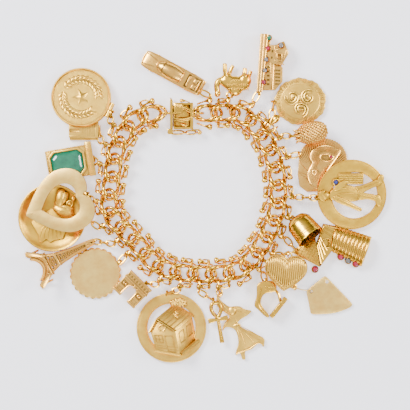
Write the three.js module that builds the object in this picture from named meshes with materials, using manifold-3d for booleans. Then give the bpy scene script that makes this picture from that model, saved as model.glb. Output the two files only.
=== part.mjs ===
// Charm bracelet: a curb chain of double-wire links with two beaded edges, closed by a
// box clasp with a thumb press and a safety catch, and hung with charms on jump rings.
// Lengths are millimetres, +Z is up, and the bracelet lies on the plane z = 0.

import * as THREE from 'three';
import { mergeVertices } from 'three/addons/utils/BufferGeometryUtils.js';
import Module from 'manifold-3d';

const wasm = await Module();
wasm.setup();

// Driving dimensions of the chain
const GAP = 0.3;
const LINK_COUNT = 28;
const LINK_WIDTH = 6.2;
const LINK_WIRE = 0.9;
const LINK_PLAY = 1.1;
const LINK_TWIST = 1.5;
const CHAIN_HEIGHT = 3.1;
const STRAND_DIAMETER = 1.8;
const STRAND_GAP = 0.5;
const JUMP_WIRE = 0.76;

// Driving dimensions of the clasp
const CLASP_SPAN = 19.5;
const CLASP_WIDTH = 9.2;
const CLASP_OFFSET = -1.0;
const CLASP_DEPTH = 3.6;
const CLASP_WALL = 0.6;
const CATCH_HEIGHT = 3.0;
const CATCH_THICKNESS = 0.7;
const CATCH_KNUCKLE = 1.3;
const CATCH_NECK = 2.2;
const KNOB_DIAMETER = 1.7;
const KNOB_WIRE = 0.56;
const KNOB_REACH = 2.2;
const CLASP_EYE = 4.0;
const CLASP_PLATE = 1.0;
const CLASP_BLADE = 0.5;
const CLASP_PRESS = { length: 3.5, thickness: 0.7, rise: 0.1, post: 1.5 };
const CLASP_LUG = { length: 1.8, width: 1.9, thickness: 0.6 };

// Driving dimensions of the charms
const COIN = { diameter: 21, face: 18.4, thickness: 1.8, recess: 0.35, relief: 0.25 };
const CASE = { length: 10.4, width: 5.6, height: 3.2, step: 0.8, slot: 3.6 };
const EMERALD = { length: 11.2, width: 8.4, corner: 1.6, height: 2.4, table: 0.74 };
const EMERALD_FRAME = { length: 16.4, width: 10.8, height: 3.4, bar: 2.2 };
const HEART = { width: 22.2, height: 24.4, band: 4.6, thickness: 1.2 };
const DISH = { diameter: 23.8, depth: 2.6, wall: 0.8 };
const TOWER = { height: 23.4, width: 12.3, depth: 8 };
const SCALLOPED = { diameter: 18.2, thickness: 1.2, scallops: 24, scallop: 0.5 };
const ARCH = { width: 10, height: 8.9, depth: 4.2, gate: 3.4 };
const COTTAGE_DISC = { diameter: 24.5, hole: 16.8, thickness: 1.4, house: 8.6, front: 5.9, depth: 4.8 };
const ANKH = { height: 14.9, arms: 7.1, bar: 1.6, thickness: 1.5 };
const DANCER = { height: 25, thickness: 1.2 };
const STIRRUP = { height: 13, tread: 8.6, depth: 3.4 };
const RIBBED_HEART = { width: 14.9, height: 12.6, depth: 4, ribs: 7 };
const KITE_TAG = { length: 16, thickness: 1, hole: 1.4 };
const WAGON = { length: 27.6, height: 4.6, stone: 2.4 };
const CUP = { mouth: 9.9, length: 9, wall: 0.7 };
const FIGURE_RING = { diameter: 24.5, hole: 16.2, thickness: 1.3 };
const SHELL = { width: 17, height: 20, thickness: 1.4 };
const PINE_CONE = { length: 10.5, diameter: 7.6 };
const BUD = { length: 4.9, diameter: 2.6 };
const MEDALLION = { width: 18.2, height: 16.6, thickness: 1.5, relief: 0.5 };
const TOWN_HALL = { length: 20.4, width: 11.2, depth: 5.8, stone: 1.9 };
const CAMEL = { length: 13.6, height: 12.6, thickness: 3.2 };
const CAR = { length: 23.2, width: 6.6, height: 4.8 };

// The middle line of the chain, clockwise from the clasp
const ROUTE = [
  [-7.3, 29.7], [1.8, 29.7], [14.1, 28.8], [22.5, 19.3], [26.1, 8.0], [26.0, -3.8],
  [21.3, -15.5], [13.3, -24.7], [-1.6, -26.6], [-15.0, -23.8], [-23.8, -14.9],
  [-32.2, -4.9], [-31.7, 6.7], [-29.5, 18.3], [-23.5, 27.3], [-16.3, 29.7],
];

// Where each charm lies: the link that holds it, its origin, its turn about the vertical,
// the pitch that lifts its upper end and the roll that lifts its right side, in degrees
const PLACES = {
  coin: { link: 26, x: -42.5, y: 35.0, z: 2.2, turn: -114, pitch: 4.3, roll: 9.6 },
  ribbed_case: { link: 25, x: -41.6, y: 23.9, z: 0, turn: 0, pitch: 0, roll: 0 },
  emerald_frame: { link: 24, x: -46.3, y: 12.3, z: 0, turn: 9.8, pitch: 0, roll: 0 },
  heart_frame: { link: 22, x: -50.3, y: -2.0, z: 4.7, turn: -70, pitch: 6, roll: 0 },
  dish: { link: 21, x: -52.7, y: -6.9, z: 0, turn: 0, pitch: 0, roll: 0 },
  lattice_tower: { link: 20, x: -58.9, y: -25.4, z: 4.1, turn: -63.8, pitch: -8.5, roll: 0 },
  scalloped_disc: { link: 19, x: -37.6, y: -26.4, z: 0, turn: -66, pitch: 0, roll: 0 },
  gate_arch: { link: 17, x: -24.5, y: -31.9, z: 1.7, turn: -45, pitch: 0, roll: 0 },
  cottage_disc: { link: 16, x: -10.9, y: -45.5, z: 0, turn: 0, pitch: 0, roll: 0 },
  ankh: { link: 15, x: 5.6, y: -43.4, z: 1.8, turn: 10.2, pitch: 0, roll: 0 },
  dancer: { link: 14, x: 12.0, y: -45.4, z: 0, turn: 0, pitch: 0, roll: 0 },
  stirrup: { link: 12, x: 22.6, y: -35.6, z: 0, turn: 0, pitch: 0, roll: 0 },
  ribbed_heart: { link: 11, x: 28.7, y: -25.9, z: 4.1, turn: -6, pitch: 3, roll: -9 },
  kite_tag: { link: 11.5, x: 43.6, y: -33.8, z: 0, turn: 0, pitch: 0, roll: 0 },
  wagon: { link: 10, x: 44.8, y: -17.0, z: 0, turn: 0, pitch: 0, roll: 0 },
  thimble_cup: { link: 9, x: 35.0, y: -10.3, z: 5.8, turn: 39, pitch: -16, roll: 0 },
  figure_ring: { link: 8, x: 52.2, y: 1.3, z: 2.2, turn: 90, pitch: 6.4, roll: 6.4 },
  shell: { link: 6, x: 41.7, y: 11.2, z: 0, turn: 0, pitch: 0, roll: 0 },
  pine_cone: { link: 5, x: 38.3, y: 22.8, z: 5.8, turn: 103.3, pitch: 0, roll: 0 },
  bud: { link: 4.5, x: 25.2, y: 27.2, z: 6.0, turn: 137, pitch: 0, roll: 0 },
  medallion: { link: 4, x: 34.3, y: 33.9, z: 0, turn: 90, pitch: 0, roll: 0 },
  town_hall: { link: 3, x: 23.9, y: 47.0, z: 0, turn: 0, pitch: 0, roll: 0 },
  camel: { link: 2, x: 10.5, y: 41.4, z: 0.9, turn: 0, pitch: 0, roll: 0 },
  car: { link: 1, x: -10.4, y: 43.9, z: 0, turn: -28.4, pitch: 0, roll: 0 },
};

// Bends of the long wire between the chain and the kite-shaped tag
const KITE_WIRE = [
  { x: 25.6, y: -22.6, z: 0.8 },
  { x: 29.5, y: -29.0, z: 0.8 },
  { x: 33.0, y: -31.8, z: 0.9 },
  { x: 38.0, y: -32.6, z: 1.2 },
];

const UP = new THREE.Vector3(0, 0, 1);
const deg = THREE.MathUtils.degToRad;

// Finishes
function metal(colour, roughness) {
  return new THREE.MeshStandardMaterial({ color: colour, roughness, metalness: 1 });
}
const GOLD = metal(0xe6b566, 0.22);
const BRUSHED = metal(0xe8c07a, 0.42);
const SATIN = metal(0xeec48c, 0.38);
const GREEN_STONE = new THREE.MeshStandardMaterial({ color: 0x1f8a58, roughness: 0.08, metalness: 0 });

// Solids from geometries
function signedVolume(points, index) {
  let total = 0;
  const [a, b, c] = [new THREE.Vector3(), new THREE.Vector3(), new THREE.Vector3()];
  for (let i = 0; i < index.length; i += 3) {
    a.fromArray(points, 3 * index[i]);
    b.fromArray(points, 3 * index[i + 1]);
    c.fromArray(points, 3 * index[i + 2]);
    total += a.dot(b.cross(c));
  }
  return total;
}

function solid(geometry) {
  const bare = geometry.clone();
  bare.deleteAttribute('normal');
  bare.deleteAttribute('uv');
  const merged = mergeVertices(bare, 1e-4);
  const points = merged.attributes.position.array;
  const index = Uint32Array.from(merged.index.array);
  if (signedVolume(points, index) < 0) {
    index.reverse();
  }
  return new wasm.Manifold(new wasm.Mesh({ numProp: 3, vertProperties: points, triVerts: index }));
}

function fuse(...pieces) {
  return pieces.flat().map((p) => (p.getMesh ? p : solid(p))).reduce((a, b) => a.add(b));
}

function carve(body, ...pieces) {
  return pieces.flat().reduce((left, p) => left.subtract(p.getMesh ? p : solid(p)), body);
}

function meshOf(name, body, material) {
  const { vertProperties, triVerts } = body.getMesh();
  const geometry = new THREE.BufferGeometry();
  geometry.setAttribute('position', new THREE.BufferAttribute(vertProperties, 3));
  geometry.setIndex(new THREE.BufferAttribute(triVerts, 1));
  const mesh = new THREE.Mesh(geometry, material);
  mesh.name = name;
  return mesh;
}

// Basic shapes, each with its place built in
function block(width, depth, height, x = 0, y = 0, z = 0) {
  return new THREE.BoxGeometry(width, depth, height).translate(x, y, z + height / 2);
}

function outline(points) {
  const corners = points.map(([x, y]) => new THREE.Vector2(x, y));
  return new THREE.Shape(THREE.ShapeUtils.isClockWise(corners) ? corners.reverse() : corners);
}

function slab(shape, thickness, z = 0, curveSegments = 6) {
  const options = { depth: thickness, bevelEnabled: false, curveSegments };
  return new THREE.ExtrudeGeometry(shape, options).translate(0, 0, z);
}

function roundShape(radius, sides, squash = 1, x = 0, y = 0) {
  const points = [];
  for (let i = 0; i < sides; i += 1) {
    const a = (2 * Math.PI * i) / sides;
    points.push([x + radius * Math.cos(a), y + radius * squash * Math.sin(a)]);
  }
  return outline(points);
}

function disc(radius, thickness, sides, x = 0, y = 0, z = 0) {
  return slab(roundShape(radius, sides, 1, x, y), thickness, z);
}

function annulus(outer, inner, thickness, sides, z = 0, shiftX = 0, shiftY = 0) {
  const shape = roundShape(outer, sides);
  shape.holes.push(roundShape(inner, sides - 4, 1, shiftX, shiftY));
  return slab(shape, thickness, z);
}

function turned(profile, sides) {
  const points = profile.map(([r, z]) => new THREE.Vector2(r, z));
  return new THREE.LatheGeometry(points, sides).rotateX(Math.PI / 2);
}

function ball(rx, ry, rz, x = 0, y = 0, z = 0, around = 8, high = 6) {
  return new THREE.SphereGeometry(1, around, high).scale(rx, ry, rz).translate(x, y, z);
}

function rod(from, to, diameter, sides = 5) {
  const [a, b] = [new THREE.Vector3(...from), new THREE.Vector3(...to)];
  const line = new THREE.LineCurve3(a, b);
  const options = { steps: 1, extrudePath: line, bevelEnabled: false };
  return new THREE.ExtrudeGeometry(roundShape(diameter / 2, sides), options);
}

// A prism between two like polygons given as [x, y, z] corners
function prism(near, far) {
  const count = near.length;
  const geometry = new THREE.BufferGeometry();
  geometry.setAttribute('position', new THREE.Float32BufferAttribute([...near, ...far].flat(), 3));
  const index = [];
  for (let i = 0; i < count; i += 1) {
    const j = (i + 1) % count;
    index.push(i, j, count + j, i, count + j, count + i);
  }
  for (let i = 1; i < count - 1; i += 1) {
    index.push(0, i + 1, i, count, count + i, count + i + 1);
  }
  geometry.setIndex(index);
  return geometry;
}

// The chain
const route = new THREE.CatmullRomCurve3(
  ROUTE.map(([x, y]) => new THREE.Vector3(x, y, CHAIN_HEIGHT)),
  true,
  'centripetal',
);
route.arcLengthDivisions = 600;
const ROUTE_LENGTH = route.getLength();
const LINK_PITCH = (ROUTE_LENGTH - CLASP_SPAN) / (LINK_COUNT - 1);
const LINK_HALF = (LINK_PITCH + LINK_WIRE + LINK_PLAY) / 2;
const LINK_SIDE = (LINK_WIDTH - LINK_WIRE) / 2;
const STRAND_OFFSET = (LINK_WIDTH + STRAND_DIAMETER) / 2 + STRAND_GAP;
const JUMP_CENTRE = (LINK_SIDE - LINK_WIRE / 2 + STRAND_OFFSET + STRAND_DIAMETER / 2) / 2;
const RING_SIDES = 10;
const RING_SLACK = GAP / Math.cos(Math.PI / RING_SIDES) ** 2;
const JUMP_RADIUS = STRAND_OFFSET + STRAND_DIAMETER / 2 - JUMP_CENTRE + RING_SLACK + JUMP_WIRE / 2;

// The frame at a length along the route: along the chain, outwards across it, and up
function stationAt(length) {
  const share = THREE.MathUtils.euclideanModulo(length / ROUTE_LENGTH, 1);
  const origin = route.getPointAt(share);
  const along = route.getTangentAt(share);
  const out = new THREE.Vector3().crossVectors(UP, along);
  return { origin, along, out };
}

function linkLength(number) {
  return CLASP_SPAN / 2 + (number - 1) * LINK_PITCH;
}

function placed(geometry, { origin, along, out }) {
  const matrix = new THREE.Matrix4().makeBasis(along, out, UP).setPosition(origin);
  return geometry.clone().applyMatrix4(matrix);
}

// Two wires soldered one above the other, as the outline of their cross-section
function doubleWire() {
  const r = LINK_WIRE / 2;
  const lift = r * Math.cos(Math.PI / 5);
  const side = r * Math.cos(Math.PI / 10);
  const rise = lift + r * Math.sin(Math.PI / 10);
  const waist = r * Math.sin(Math.PI / 5);
  return [
    [waist, 0], [side, rise], [0, lift + r], [-side, rise],
    [-waist, 0], [-side, -rise], [0, -lift - r], [side, -rise],
  ];
}

function linkGeometry() {
  const section = doubleWire();
  const steps = 10;
  const side = LINK_SIDE / Math.cos(Math.PI / steps);
  const geometry = new THREE.TorusGeometry(2, 1, section.length, steps);
  const position = geometry.attributes.position;
  for (let n = 0; n < position.count; n += 1) {
    const corner = Math.floor(n / (steps + 1)) % section.length;
    const turn = (2 * Math.PI * (n % (steps + 1))) / steps;
    const [across, rise] = section[corner];
    const normal = new THREE.Vector2(side * Math.cos(turn), LINK_HALF * Math.sin(turn));
    normal.normalize();
    position.setXYZ(
      n,
      LINK_HALF * Math.cos(turn) + normal.x * across,
      side * Math.sin(turn) + normal.y * across,
      rise - LINK_TWIST * Math.sin(2 * turn),
    );
  }
  return geometry;
}

function chainLinks() {
  const geometry = linkGeometry();
  const links = [];
  for (let number = 1; number <= LINK_COUNT; number += 1) {
    const name = `link_${String(number).padStart(2, '0')}`;
    links.push(meshOf(name, solid(placed(geometry, stationAt(linkLength(number)))), GOLD));
  }
  return links;
}

// The beaded edge as a plain tube beside the links, from one end of the clasp to the other
function edgeStrand(name, side, from, to) {
  const steps = Math.round((to - from) / (2.9 * STRAND_DIAMETER));
  const points = [];
  for (let i = 0; i <= steps; i += 1) {
    const { origin, out } = stationAt(from + ((to - from) * i) / steps);
    points.push(origin.addScaledVector(out, side * STRAND_OFFSET));
  }
  const path = new THREE.CatmullRomCurve3(points, false, 'centripetal');
  const tube = new THREE.ExtrudeGeometry(roundShape(STRAND_DIAMETER / 2, 8), {
    steps,
    extrudePath: path,
    bevelEnabled: false,
  });
  return meshOf(name, solid(tube), GOLD);
}

// The clasp, in its own frame: x along the chain, y outwards, z up from the chain's middle
const CLASP_HALF = CLASP_SPAN / 2 - LINK_HALF - LINK_WIRE / 2 - GAP - JUMP_WIRE;
const CLASP_TOP = CLASP_DEPTH / 2;
const CLASP_INNER = CLASP_OFFSET - CLASP_WIDTH / 2;
const CATCH_Y = CLASP_INNER - GAP - KNOB_DIAMETER / 2;
const KNUCKLE_RADIUS = CATCH_KNUCKLE / 2;
const KNOB_X = CLASP_HALF + KNOB_REACH;

function endEye(side) {
  const ring = new THREE.TorusGeometry(CLASP_EYE / 2, JUMP_WIRE / 2, 5, RING_SIDES).rotateX(Math.PI / 2);
  return ring.translate(side * (CLASP_SPAN / 2 - LINK_HALF), 0, 0);
}

function claspBox() {
  const start = -CLASP_HALF + CLASP_PLATE + GAP;
  const length = CLASP_HALF - start;
  const centre = (CLASP_HALF + start) / 2;
  const shell = block(length, CLASP_WIDTH, CLASP_DEPTH, centre, CLASP_OFFSET, -CLASP_TOP);
  const room = block(
    length,
    CLASP_WIDTH - 2 * CLASP_WALL,
    CLASP_DEPTH - 2 * CLASP_WALL,
    centre - CLASP_WALL,
    CLASP_OFFSET,
    CLASP_WALL - CLASP_TOP,
  );
  const pressRoom = CLASP_WIDTH * 0.48;
  const notch = block(
    length * 0.62,
    pressRoom,
    CLASP_DEPTH,
    start + length * 0.31 - 0.01,
    CLASP_OFFSET + CLASP_WIDTH / 2 - pressRoom / 2 - CLASP_WALL,
    0,
  );
  const stalkY = CLASP_INNER - KNOB_WIRE * 0.45;
  const root = [CLASP_HALF - 2 * CLASP_WALL, CLASP_INNER + CLASP_WALL / 3, 0];
  const knob = KNOB_DIAMETER / 2;
  const stalk = [
    rod(root, [CLASP_HALF, stalkY, 0], KNOB_WIRE),
    rod([CLASP_HALF - KNOB_WIRE / 6, stalkY, 0], [KNOB_X, stalkY, 0], KNOB_WIRE),
    ball(knob, knob, knob, KNOB_X, CATCH_Y, 0),
  ];
  return fuse(carve(solid(shell), room, notch), endEye(1), stalk);
}

function claspTongue() {
  const plateInner = CATCH_Y + KNUCKLE_RADIUS + GAP;
  const plateOuter = CLASP_OFFSET + CLASP_WIDTH * 0.62;
  const lip = CLASP_WALL / 3;
  const plate = block(
    CLASP_PLATE,
    plateOuter - plateInner,
    CLASP_DEPTH + 2 * lip,
    -CLASP_HALF + CLASP_PLATE / 2,
    (plateOuter + plateInner) / 2,
    -CLASP_TOP - lip,
  );
  const bladeWidth = CLASP_WIDTH - 2 * CLASP_WALL - 2 * GAP;
  const bladeLength = 2 * CLASP_HALF - CLASP_PLATE - CLASP_WALL - GAP;
  const bladeX = -CLASP_HALF + CLASP_PLATE + bladeLength / 2 - lip;
  const low = CLASP_WALL + GAP - CLASP_TOP;
  const lower = block(bladeLength, bladeWidth, CLASP_BLADE, bladeX, CLASP_OFFSET, low);
  const upperWidth = bladeWidth * 0.42;
  const upperY = CLASP_OFFSET + bladeWidth / 2 - upperWidth / 2;
  const high = CLASP_DEPTH * 0.1;
  const upper = block(bladeLength * 0.8, upperWidth, CLASP_BLADE, bladeX, upperY, high);
  const foldX = bladeX + bladeLength * 0.4 - CLASP_BLADE / 2;
  const fold = block(CLASP_BLADE, upperWidth, high - low, foldX, upperY, low + lip);
  const { length, thickness, rise, post } = CLASP_PRESS;
  const pressX = -CLASP_HALF + CLASP_PLATE + length * 0.6;
  const stem = block(post, post, CLASP_TOP, pressX, upperY, high);
  const press = block(length, upperWidth, thickness, pressX, upperY, CLASP_TOP + rise);
  const lugLow = CATCH_KNUCKLE / 2 + GAP;
  const lug = (z) => block(
    CLASP_LUG.length,
    CLASP_LUG.width,
    CLASP_LUG.thickness,
    -CLASP_HALF + CLASP_PLATE / 10,
    CATCH_Y + CLASP_LUG.width * 0.2,
    z,
  );
  const lugs = [lug(lugLow), lug(-lugLow - CLASP_LUG.thickness)];
  return fuse(plate, lower, upper, fold, stem, press, endEye(-1), lugs);
}

// Two loops in one flat plate that swings on a pin at the tongue and ends at the knob
function safetyCatch() {
  const hingeX = -CLASP_HALF - GAP;
  const end = KNOB_X - KNOB_DIAMETER / 2 - GAP;
  const r = CATCH_HEIGHT / 2;
  const neck = CATCH_KNUCKLE / 2;
  const first = hingeX + CATCH_NECK + r;
  const last = end - r;
  const loops = [
    { x: first, before: r, after: (last - first) / 2 - r * 0.3 },
    { x: last, before: r, after: r },
  ];
  const lower = [[hingeX, -neck], [first - r * 0.9, -neck]];
  loops.forEach(({ x, before, after }) => {
    for (let i = 1; i < 6; i += 1) {
      const a = (Math.PI * i) / 6;
      const reach = a > Math.PI / 2 ? after : before;
      lower.push([x - Math.cos(a) * reach, -Math.sin(a) * r]);
    }
  });
  const upper = lower.map(([x, z]) => [x, -z]).reverse();
  const shape = outline([...lower, [end, 0], ...upper]);
  loops.forEach(({ x }) => shape.holes.push(roundShape(r * 0.5, 8, 1, x, 0)));
  const plate = slab(shape, CATCH_THICKNESS).rotateX(Math.PI / 2);
  plate.translate(0, CATCH_Y + CATCH_THICKNESS / 2, 0);
  const knuckle = disc(KNUCKLE_RADIUS, CATCH_KNUCKLE, 8, hingeX, CATCH_Y, -CATCH_KNUCKLE / 2);
  return fuse(plate, knuckle);
}

// An upright jump ring across the chain at a distance from its middle line
function ringAt(station, offset, radius) {
  const ring = new THREE.TorusGeometry(radius, JUMP_WIRE / 2, 5, RING_SIDES);
  ring.rotateX(Math.PI / 2).rotateZ(Math.PI / 2).translate(0, offset, 0);
  const centre = station.origin.clone().addScaledVector(station.out, offset);
  return { ring: placed(ring, station), centre, radius };
}

// Round one link's outer wire and the edge strand together
function jumpRing(station) {
  return ringAt(station, JUMP_CENTRE, JUMP_RADIUS);
}

// Round the edge strand alone, between two links
function edgeRing(station) {
  return ringAt(station, STRAND_OFFSET, STRAND_DIAMETER / 2 + GAP + JUMP_WIRE / 2);
}

// Puts a charm in its place and solders it to its jump ring with a stem of ring wire
function hang(name, material, { body, eye, via = [] }) {
  const place = PLACES[name];
  const mesh = new THREE.Mesh();
  mesh.position.set(place.x, place.y, place.z);
  mesh.rotation.set(deg(place.pitch), deg(-place.roll), deg(place.turn), 'ZXY');
  mesh.updateMatrix();
  const home = mesh.matrix.clone().invert();
  const station = stationAt(linkLength(place.link));
  const { ring, centre, radius } = place.link % 1 ? edgeRing(station) : jumpRing(station);
  const stops = [...via.map((p) => new THREE.Vector3(...p)), mesh.localToWorld(new THREE.Vector3(...eye))];
  const aim = stops[0].clone().sub(centre).projectOnPlane(station.along).setLength(radius);
  const points = [centre.clone().add(aim), ...stops].map((p) => p.applyMatrix4(home).toArray());
  const stem = points.slice(1).map((p, i) => rod(points[i], p, JUMP_WIRE));
  const whole = fuse(body, ring.applyMatrix4(home), stem);
  const charm = meshOf(name, whole, material);
  charm.position.copy(mesh.position);
  charm.rotation.copy(mesh.rotation);
  return charm;
}

// Charms, each in its own frame: x to the right, y towards its eye, z up from the table
function coin() {
  const { diameter, face, thickness, recess, relief } = COIN;
  const [r, f, floor] = [diameter / 2, face / 2, thickness - recess];
  const body = turned([[0, 0], [r, 0], [r, thickness], [f, thickness], [f, floor], [0, floor]], 20);
  const star = [];
  for (let i = 0; i < 10; i += 1) {
    const reach = f * (i % 2 ? 0.34 : 0.72);
    const a = (Math.PI * i) / 5;
    star.push([reach * Math.cos(a), reach * Math.sin(a)]);
  }
  const y = r + 0.5;
  const barrel = rod([-2.7, y, thickness / 2], [2.7, y, thickness / 2], 1.6, 6);
  const motif = slab(outline(star), relief + 0.1, floor - 0.1);
  return { body: fuse(body, motif, barrel), eye: [0, y + 0.3, thickness / 2] };
}

function ribbedCase() {
  const { length, width, height, step, slot } = CASE;
  const lower = block(length - 0.4, width + step, height * 0.45, 0, -step / 2, 0);
  const upper = block(length, width, height * 0.6, 0, 0, height * 0.4);
  const ribs = [];
  for (let i = 0; i < 5; i += 1) {
    ribs.push(block(0.5, width - 0.6, 0.25, length * (0.08 + 0.08 * i), 0, height - 0.05));
  }
  const cut = block(slot, width * 0.14, height, -length / 2 + slot / 2 - 0.01, 0, height * 0.7);
  const shelf = block(length * 0.7, step * 1.5, height * 0.2, 0, -width / 2 - step, height * 0.12);
  return {
    body: fuse(carve(fuse(lower, upper), cut, shelf), ribs),
    eye: [length / 2, 0, height * 0.5],
    via: [[PLACES.ribbed_case.x + length / 2 + 1, PLACES.ribbed_case.y, height * 0.6]],
  };
}

function cutCorners(length, width, corner, z) {
  const [x, y] = [length / 2, width / 2];
  return [
    [x, y - corner, z], [x - corner, y, z], [corner - x, y, z], [-x, y - corner, z],
    [-x, corner - y, z], [corner - x, -y, z], [x - corner, -y, z], [x, corner - y, z],
  ];
}

const STONE_SEAT = 0.8;

function emeraldStone() {
  const { length, width, corner, height, table } = EMERALD;
  const bottom = STONE_SEAT + GAP;
  const girdle = cutCorners(length, width, corner, bottom + height * 0.55);
  const step = 0.5 + table / 2;
  const keel = cutCorners(length * 0.62, width * 0.5, corner * 0.5, bottom);
  const middle = cutCorners(length * step, width * step, corner * step, bottom + height * 0.85);
  const top = cutCorners(length * table, width * table, corner * table, bottom + height);
  return fuse(prism(keel, girdle), prism(girdle, middle), prism(middle, top));
}

function emeraldFrame() {
  const { length, width, height, bar } = EMERALD_FRAME;
  const stone = [EMERALD.length, EMERALD.width, EMERALD.corner];
  const seat = stone.map((v, i) => (i < 2 ? v + 2 * GAP : v));
  const rim = [seat[0] + 0.9, seat[1] + 0.9, seat[2] + 0.2];
  const plate = block(length, width, height * 0.7);
  const end = block(bar, width + 1.4, height, (length - bar) / 2, 0.3, 0);
  const collar = prism(cutCorners(...rim, height * 0.5), cutCorners(...rim, height));
  const pocket = prism(cutCorners(...seat, STONE_SEAT), cutCorners(...seat, height + 1));
  const window = block(stone[0] * 0.7, stone[1] * 0.6, height, 0, 0, -1);
  const shift = -bar * 0.45;
  [collar, pocket, window].forEach((g) => g.translate(shift, 0, 0));
  return {
    body: carve(fuse(plate, end, collar), pocket, window),
    eye: [length / 2 - 0.2, 0, height * 0.6],
    shift,
  };
}

function heartOutline(width, height, cleft, steps, x = 0, y = 0) {
  const [w, top, foot] = [width / 2, y + height / 2, y - height / 2];
  const line = new THREE.Path();
  line.moveTo(x, top - cleft);
  line.bezierCurveTo(x + w * 0.3, top + cleft * 0.6, x + w, top, x + w, top - height * 0.36);
  line.bezierCurveTo(x + w, top - height * 0.6, x + w * 0.42, foot + height * 0.16, x, foot);
  const half = line.getPoints(steps).map((p) => [p.x, p.y]);
  return outline([...half, ...half.slice(1, -1).reverse().map(([px, py]) => [2 * x - px, py])]);
}

function heartFrame() {
  const { width, height, band, thickness } = HEART;
  const shape = heartOutline(width, height, height * 0.09, 7);
  const [innerWidth, innerHeight] = [width - 2 * band, height - 2.3 * band];
  shape.holes.push(heartOutline(innerWidth, innerHeight, innerHeight * 0.12, 6, 0, band * 0.12));
  return { body: solid(slab(shape, thickness)), eye: [0, height * 0.42, thickness / 2] };
}

function dish() {
  const { diameter, depth, wall } = DISH;
  const r = diameter / 2;
  const bowl = turned([
    [0, 0], [r * 0.5, 0], [r * 0.84, depth * 0.3], [r, depth * 0.9], [r * 0.98, depth],
    [r * 0.82, depth * 0.3 + wall], [r * 0.5, wall], [0, wall],
  ], 16);
  const skirt = outline([
    [-r * 0.56, -r * 0.17], [-r * 0.34, -r * 0.73], [-r * 0.22, -r * 0.57], [-r * 0.1, -r * 0.72],
    [r * 0.3, -r * 0.6], [r * 0.33, -r * 0.4], [r * 0.5, 0], [0, r * 0.2],
  ]);
  const buds = [
    ball(r * 0.22, r * 0.36, 1.5, r * 0.3, r * 0.56, 2.3, 7, 5),
    ball(r * 0.36, r * 0.24, 1.5, r * 0.36, r * 0.18, 2.3, 7, 5),
  ];
  return { body: fuse(bowl, slab(skirt, 1.0, wall - 0.1), buds), eye: [r * 0.98, 0, depth * 0.8] };
}

function latticeTower() {
  const { height, width, depth } = TOWER;
  const levels = [
    { up: 0, half: 1 }, { up: 0.12, half: 0.72 }, { up: 0.23, half: 0.5 },
    { up: 0.38, half: 0.28 }, { up: 0.62, half: 0.15 }, { up: 1, half: 0.06 },
  ];
  const square = ({ up, half }) => [[1, 1], [-1, 1], [-1, -1], [1, -1]].map(
    ([x, y]) => [(x * half * width) / 2, (y * half * depth) / 2, up * height],
  );
  const stages = levels.slice(1).map((level, i) => prism(square(levels[i]), square(level)));
  const decks = [
    block(width * 0.58, depth * 0.58, 0.8, 0, 0, height * 0.2),
    block(width * 0.36, depth * 0.36, 0.7, 0, 0, height * 0.37),
    block(width * 0.14, depth * 0.18, 0.8, 0, 0, height * 0.88),
  ];
  const opening = (w, top, base) => outline([
    [-w, base], [w, base], [w, top * 0.6], [w * 0.6, top * 0.92],
    [0, top], [-w * 0.6, top * 0.92], [-w, top * 0.6],
  ]);
  const wide = slab(opening(width * 0.25, height * 0.15, -1), depth * 2, -depth);
  const deep = slab(opening(depth * 0.25, height * 0.15, -1), width * 2, -width);
  const slot = slab(outline([
    [-width * 0.09, height * 0.25], [width * 0.09, height * 0.25], [width * 0.05, height * 0.35],
    [-width * 0.05, height * 0.35],
  ]), depth * 2, -depth);
  wide.rotateX(Math.PI / 2);
  slot.rotateX(Math.PI / 2);
  deep.rotateX(Math.PI / 2).rotateZ(Math.PI / 2);
  const body = carve(fuse(stages, decks), wide, deep, slot).rotate([-90, 0, 0]);
  return { body, eye: [0, height - 0.3, 0] };
}

function scallopedDisc() {
  const { diameter, thickness, scallops, scallop } = SCALLOPED;
  const points = [];
  for (let i = 0; i < 2 * scallops; i += 1) {
    const a = (Math.PI * i) / scallops;
    const r = diameter / 2 - (i % 2 ? scallop : 0);
    points.push([r * Math.cos(a), r * Math.sin(a)]);
  }
  return { body: solid(slab(outline(points), thickness)), eye: [0, diameter / 2 - 0.4, thickness / 2] };
}

function gateArch() {
  const { width, height, depth, gate } = ARCH;
  const [w, g, spring] = [width / 2, gate / 2, height * 0.42];
  const foot = -height / 2;
  const front = [[-w, foot], [-g, foot], [-g, foot + spring]];
  for (let i = 1; i < 5; i += 1) {
    const a = Math.PI - (Math.PI * i) / 5;
    front.push([g * Math.cos(a), foot + spring + g * Math.sin(a)]);
  }
  front.push([g, foot + spring], [g, foot], [w, foot], [w, -foot], [-w, -foot]);
  const cornice = block(width + 0.7, height * 0.08, depth + 0.6, 0, height * 0.2, -0.3);
  const crown = block(width + 0.4, height * 0.08, depth + 0.4, 0, height * 0.46, -0.2);
  const passage = block(width * 2, height * 0.36, depth * 0.34, 0, foot + height * 0.17, depth * 0.33);
  const body = carve(fuse(slab(outline(front), depth), cornice, crown), passage);
  return { body, eye: [width * 0.16, height * 0.46, depth * 0.4] };
}

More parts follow.
